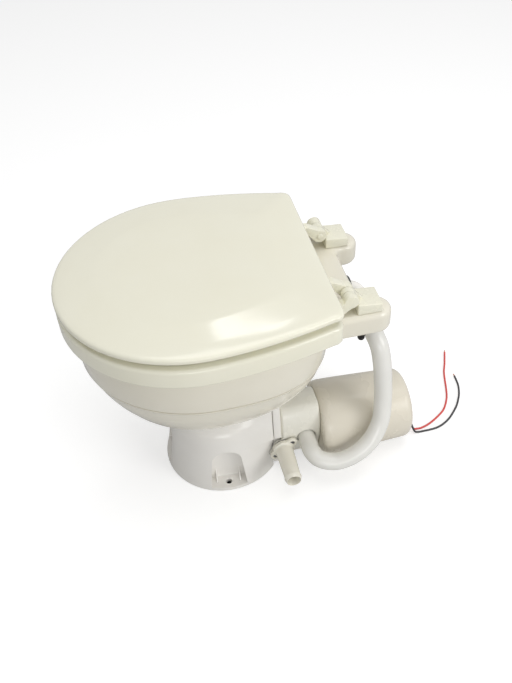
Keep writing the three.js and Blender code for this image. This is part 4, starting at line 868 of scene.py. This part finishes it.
# Acetal from a blasted mould is satin and a shade warmer than the pedestal.
pump_satin = coated("moulded_satin_acetal", "#F2F0E6", "#ECEADE", 20, 0.26, 0.05, grain=0.6, relief=0.015)
pad_outline = [
    (pad_left, pad_low), (pad_right, pad_low), (pad_right, pad_step), (step_right, pad_step),
    (top_right, pad_top), (pad_left, pad_top),
]
plate_mesh = slab("pump_front_plate", pad_outline, "y", 64.9, 75.3, 1.4, 4)
plate = finished("pump_front_plate", plate_mesh, white_gloss)
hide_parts("pump_adaptor")
# The case's section widens upwards from a narrow foot and closes in a round crown over the motor's axis.
crown_side = [*bezier(((29, 74), (29, 92), (25, 105), (12, 109)), 8), Vector((12, 109))]
section = [
    (15, 14), (49, 14), (61, 53), *((motor_x + p.x, p.y) for p in crown_side),
    *((motor_x - p.x, p.y) for p in reversed(crown_side)), (3, 53),
]
lobe_round = 7.5
diamond = [
    *arc(*lobes[0], lobe_round, -48, 132, 18), *arc(port_y, port_z, 15, 122, 142, 5),
    *arc(*lobes[1], lobe_round, 132, 312, 18), *arc(port_y, port_z, 15, 302, 322, 5),
]
outlet_boss = carve(
    slab("outlet_boss", diamond, "x", 46, 61, 0.8, 2),
    [slab("clear", block_outline(40, 50, 60.2, 76.5), "z", 20, 72, 0)],
)
port_axis, socket_axis = (0, port_y, port_z), (0, 112, 56)
socket_profile = [(0, 56), (13.4, 56), (13.4, 60.2), (14.2, 61.2), (14.2, 64), (0, 64)]
hose_socket = turned("socket", socket_profile, "x", socket_axis)
outlet_bore = turned("outlet_bore", [(0, 40), (8.5, 40), (8.5, 66), (0, 66)], "x", port_axis)
case_mesh = slab("pump_case", section, "y", 77.4, 133, 3.4, 5)
neck_middle = 61
neck_outline = [(motor_x + (x - motor_x) * 0.88, neck_middle + (z - neck_middle) * 0.93) for x, z in section]
neck = slab("pump_neck", neck_outline, "y", 75.4, 84, 0)
case_mesh = carve(case_mesh, [neck, outlet_boss], "UNION")
case_mesh = carve(case_mesh, [hose_socket, outlet_bore])
case = finished("pump_case", case_mesh, pump_satin, sharp=32)
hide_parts("pump_housing")
intake_profile = [
    (6.6, 6), (13, 6), (13, 2.6), (12, 1.6), (10, 0.8), (9.4, -0.5), (8.7, -32.6), (9.7, -33), (9.7, -34.2),
    (7.9, -39.6), (7.5, -40), (6.9, -40), (6.6, -39.6),
]
intake_mesh = turned("intake", intake_profile, "x", socket_axis, 56, True)
finished("pump_intake_tail", intake_mesh, pump_satin)

# Discharge port
# A moulded two-screw flange that clamps the rubber valve, with a tapered tail for the waste hose.
# The tail ends in one barb with a chamfered mouth.

# Ivory polypropylene is glossy and yellower than the pedestal.
port_cream = coated(
    "moulded_ivory_polypropylene", "#F1EEE2", "#EBE7D8", 12, 0.18, 0.05, grain=0.8, relief=0.01,
)
sink_profile = [(0, 65.8), (3.9, 65.8), (3.9, 68), (4.5, 68.8), (4.5, 72), (0, 72)]
sinks = [turned("sink", sink_profile, "x", (0, *lobe), 32) for lobe in lobes]
flange_mesh = carve(slab("port_flange", diamond, "x", 63.6, 68.6, 1.2, 4), sinks)
port_flange = finished("port_flange", flange_mesh, port_cream)
tail_profile = [
    (8.5, 64), (15.5, 64), (15.5, 68.7), (14, 69.4), (13, 71), (12.6, 73), (12.1, 95), (11.2, 117.2),
    (11.9, 117.5), (12.1, 118.2), (11.9, 119), (10.4, 123.7), (10.1, 124.3), (9.8, 124.5), (9.5, 124.3),
    (8.5, 120),
]
tail = finished("port_tail", turned("port_tail", tail_profile, "x", port_axis, 64, True), port_cream)
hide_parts("discharge_port")


# Screws
# Stainless pan-head screws with cross slots hold the discharge port.
# Hex bolts under the pedestal's flange hold the bowl.
def with_shank(tree, size, head):
    """The head of a screw or bolt and its round shank as one shape."""
    shank = node(tree, "GeometryNodeMeshCylinder", {
        "Vertices": 20, "Radius": size["Shank radius"], "Depth": size["Shank length"],
    })
    moved = node(tree, "GeometryNodeTransform", {
        "Geometry": shank.outputs["Mesh"], "Translation": size["Shank place"],
    })
    whole = node(tree, "GeometryNodeJoinGeometry")
    tree.links.new(head.outputs["Mesh"], whole.inputs[0])
    tree.links.new(moved.outputs[0], whole.inputs[0])
    return whole.outputs[0]


def screw_tree(tree, size):
    """Screws on both ends of a line, each a pan head with a cross slot cut into it over a shank."""
    drum = node(tree, "GeometryNodeMeshCylinder", {
        "Vertices": 32, "Radius": size["Head radius"], "Depth": size["Head height"],
    })
    dome = node(tree, "GeometryNodeMeshUVSphere", {
        "Segments": 32, "Rings": 16, "Radius": size["Head radius"],
    })
    flat_dome = node(tree, "GeometryNodeTransform", {
        "Geometry": dome.outputs["Mesh"], "Scale": (1.0, 1.0, 0.3), "Translation": size["Dome place"],
    })
    head = node(tree, "GeometryNodeMeshBoolean", operation="UNION")
    tree.links.new(drum.outputs["Mesh"], head.inputs["Mesh 2"])
    tree.links.new(flat_dome.outputs[0], head.inputs["Mesh 2"])
    cut = node(tree, "GeometryNodeMeshBoolean", {"Mesh 1": head.outputs["Mesh"]}, operation="DIFFERENCE")
    for way in ("Slot one", "Slot two"):
        groove = node(tree, "GeometryNodeMeshCube", {"Size": size[way]})
        sunk = node(tree, "GeometryNodeTransform", {
            "Geometry": groove.outputs["Mesh"], "Translation": size["Slot place"],
        })
        tree.links.new(sunk.outputs[0], cut.inputs["Mesh 2"])
    line = node(tree, "GeometryNodeMeshLine", {
        "Count": size["Count"], "Start Location": size["First"], "Offset": size["Last"],
    }, mode="END_POINTS")
    return node(tree, "GeometryNodeInstanceOnPoints", {
        "Points": line.outputs["Mesh"], "Instance": with_shank(tree, size, cut),
        "Rotation": (0.0, math.pi / 2, 0.0),
    }).outputs[0]


# Turned stainless steel: bright grey, with fine machining marks that blur the highlight.
steel = coated(
    "turned_stainless_steel", "#B9BABC", "#A5A7AA", 5, 0.3, 0.08, grain=0.25, relief=0.02, Metallic=1.0,
)
screw_seat = 66.5
port_screws = {
    "Head radius": 0.0035, "Head height": 0.0012, "Dome place": (0.0, 0.0, 0.0004),
    "Slot one": (0.0034, 0.0007, 0.002), "Slot two": (0.0007, 0.0034, 0.002),
    "Slot place": (0.0, 0.0, 0.0014),
    "Shank radius": 0.002, "Shank length": 0.0095, "Shank place": (0.0, 0.0, -0.0055),
    "Count": 2, "First": tuple(at(screw_seat, *lobes[0])), "Last": tuple(at(screw_seat, *lobes[1])),
}
# The port's screws are a darker, duller steel than the bolts, so that their heads show as dark dots.
dull_steel = coated(
    "dark_dull_stainless_steel", "#77787A", "#5E5F62", 3, 0.45, 0.08, grain=0.3, relief=0.02, Metallic=1.0,
)
screw_mesh = grown("port_screws", port_screws, screw_tree, dull_steel)
screws = finished("port_screws", screw_mesh, dull_steel)
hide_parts("port_screw_1", "port_screw_2")


def bolt_tree(tree, size):
    """Hex heads with their shanks, evenly round a circle under the flange."""
    ring = node(tree, "GeometryNodeMeshCircle", {"Vertices": size["Count"], "Radius": size["Circle radius"]})
    head = node(tree, "GeometryNodeMeshCylinder", {
        "Vertices": 6, "Radius": size["Head radius"], "Depth": size["Head height"],
    })
    return node(tree, "GeometryNodeInstanceOnPoints", {
        "Points": ring.outputs["Mesh"], "Instance": with_shank(tree, size, head),
    }).outputs[0]


flange_bolts = {
    "Count": 4, "Circle radius": 0.054, "Head radius": 0.0046, "Head height": 0.004,
    "Shank radius": 0.003, "Shank length": 0.017, "Shank place": (0.0, 0.0, 0.0104),
}
bolt_head_middle = 140.7
mesh = grown("flange_bolts", flange_bolts, bolt_tree, steel)
mesh = placed(mesh, (0, 0, bolt_head_middle), Matrix.Rotation(math.pi / 4, 3, "Z"))
bolts = finished("flange_bolts", mesh, steel)
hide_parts("bowl_bolt_1", "bowl_bolt_2", "bowl_bolt_3", "bowl_bolt_4")

# Motor
# A deep cover of satin off-white ABS over the steel motor: it swells from the pump's rear over a soft
# shoulder, tapers a little and ends in a rounded rear with a rubber grommet.

# ABS from a blasted mould is satin and darker than the pump.
cover_satin = coated("moulded_satin_abs", "#E4DED0", "#DDD6C5", 40, 0.26, 0.05, grain=0.7, relief=0.015)
quarter = [math.radians(9 * k) for k in range(11)]
shoulder = [(49.5 + 5.5 * math.sin(t), 133.2 + 13 * (1 - math.cos(t))) for t in quarter]
rear_turn = [(38.5 + 12 * math.cos(t), 254 + 12 * math.sin(t)) for t in quarter]
cover_profile = [*shoulder, (54.3, 170), (52.4, 212), *rear_turn, (20, 266), (0, 266)]
cover_inside = [(0, 263), (38, 263), (45, 258), (47, 250), (47, 139.6), (24, 139.6), (24, 133.2)]
mesh = turned("motor_cover_shell", [*cover_inside, *cover_profile], "y", (motor_x, 0, motor_z), 128)
cover = finished("motor_cover_shell", mesh, cover_satin)
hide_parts("motor_cover")
# Nitrile rubber is black and matt, with a faint bloom.
nitrile = coated("moulded_nitrile_rubber", "#1B1B1C", "#262627", 8, 0.55, 0.08, grain=0.5, relief=0.03)
grommet_profile = [
    (0, 258), (6.2, 258), (6.2, 266), (7.4, 266.2), (7.8, 266.7), (7.4, 267.4), (6, 267.6), (0, 267.6),
]
grommet_mesh = turned("grommet", grommet_profile, "y", (48, 0, 34), 40)
grommet = finished("lead_grommet", grommet_mesh, nitrile)
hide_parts("wire_grommet")

# Rinse hose
# A smooth white vinyl hose of 19 mm bore, pushed over a moulded elbow behind the bowl and over a spigot
# inside the pump's socket. A rubber bung seals the elbow in the china.

# Soft vinyl is glossy, with long shallow waves along the hose.
vinyl = coated("extruded_white_vinyl", "#ECEBE6", "#E6E5DF", 25, 0.2, 0.04, grain=3, relief=0.02)
hose_radius, elbow_radius = 0.0122, 0.0078
elbow_fall = math.radians(35)
down_right = Vector((math.cos(elbow_fall), 0, -math.sin(elbow_fall)))
knee = Vector((0, 198, 265))
hose_stops = [knee + down_right * 13, knee + down_right * 27] + [Vector(p) for p in (
    (52, 203, 230), (66, 208, 214), (73, 211, 190), (77, 213, 160), (83, 213, 128), (93, 208, 97),
    (103, 192, 72), (109, 168, 56), (108, 142, 48), (101, 121, 51), (88, 112.5, 55), (75, 112, 56),
    (68, 112, 56), (58.9, 112, 56),
)]
hose_route = through_points([at(*p) for p in hose_stops], 8)
hose_mesh = sweep("rinse_hose_vinyl", hose_route, hose_radius, 48)
hose = finished("rinse_hose_vinyl", hose_mesh, vinyl)
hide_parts("rinse_hose")
elbow_stops = [at(0, y, 266) for y in (172, 184, 186)] + [
    at(0.3, 190.5, 265.2), at(2.6, 195, 263), at(*(knee + down_right * 8)), at(*(knee + down_right * 13.2)),
]
elbow_mesh = sweep("elbow", through_points(elbow_stops, 6), elbow_radius, 40)
elbow_piece = finished("inlet_elbow_body", elbow_mesh, white_gloss)
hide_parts("inlet_elbow")
bung_profile = [
    (7.6, 171), (10.6, 171), (11, 172), (11, 182.6), (14.4, 182.6), (15, 183.3), (15, 185.4), (14, 186.3),
    (8.2, 186.3), (7.6, 185.6),
]
bung_mesh = turned("bung", bung_profile, "y", water_axis, 48, True)
bung = finished("inlet_bung", bung_mesh, nitrile)
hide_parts("inlet_seal")

# Rubber, steel and inner pieces
# Buffers, gasket and valve are black nitrile rubber, the pump's metal is stainless steel, and the motor
# holds pressed ferrite magnets and a wound copper armature. They keep their own shapes.

# Pressed ferrite is dark grey and matt, like fired clay.
ferrite = coated("pressed_ferrite", "#3B3B3D", "#454548", 8, 0.6, 0.06, grain=0.4, relief=0.02)
finishes = {
    "rubber": nitrile, "steel": steel, "black_plastic": black_nylon, "magnet": ferrite,
    "copper": bare_copper, "pump_plastic": pump_satin, "white_plastic": white_gloss,
    "enamel_plastic": hinge_cream,
}
for row in frame["record"]["subparts"]:
    finish = finishes.get(row["material_slot"])
    solid = frame["nodes"][row["node"]]
    if finish:
        solid.data.materials.clear()
        solid.data.materials.append(finish)
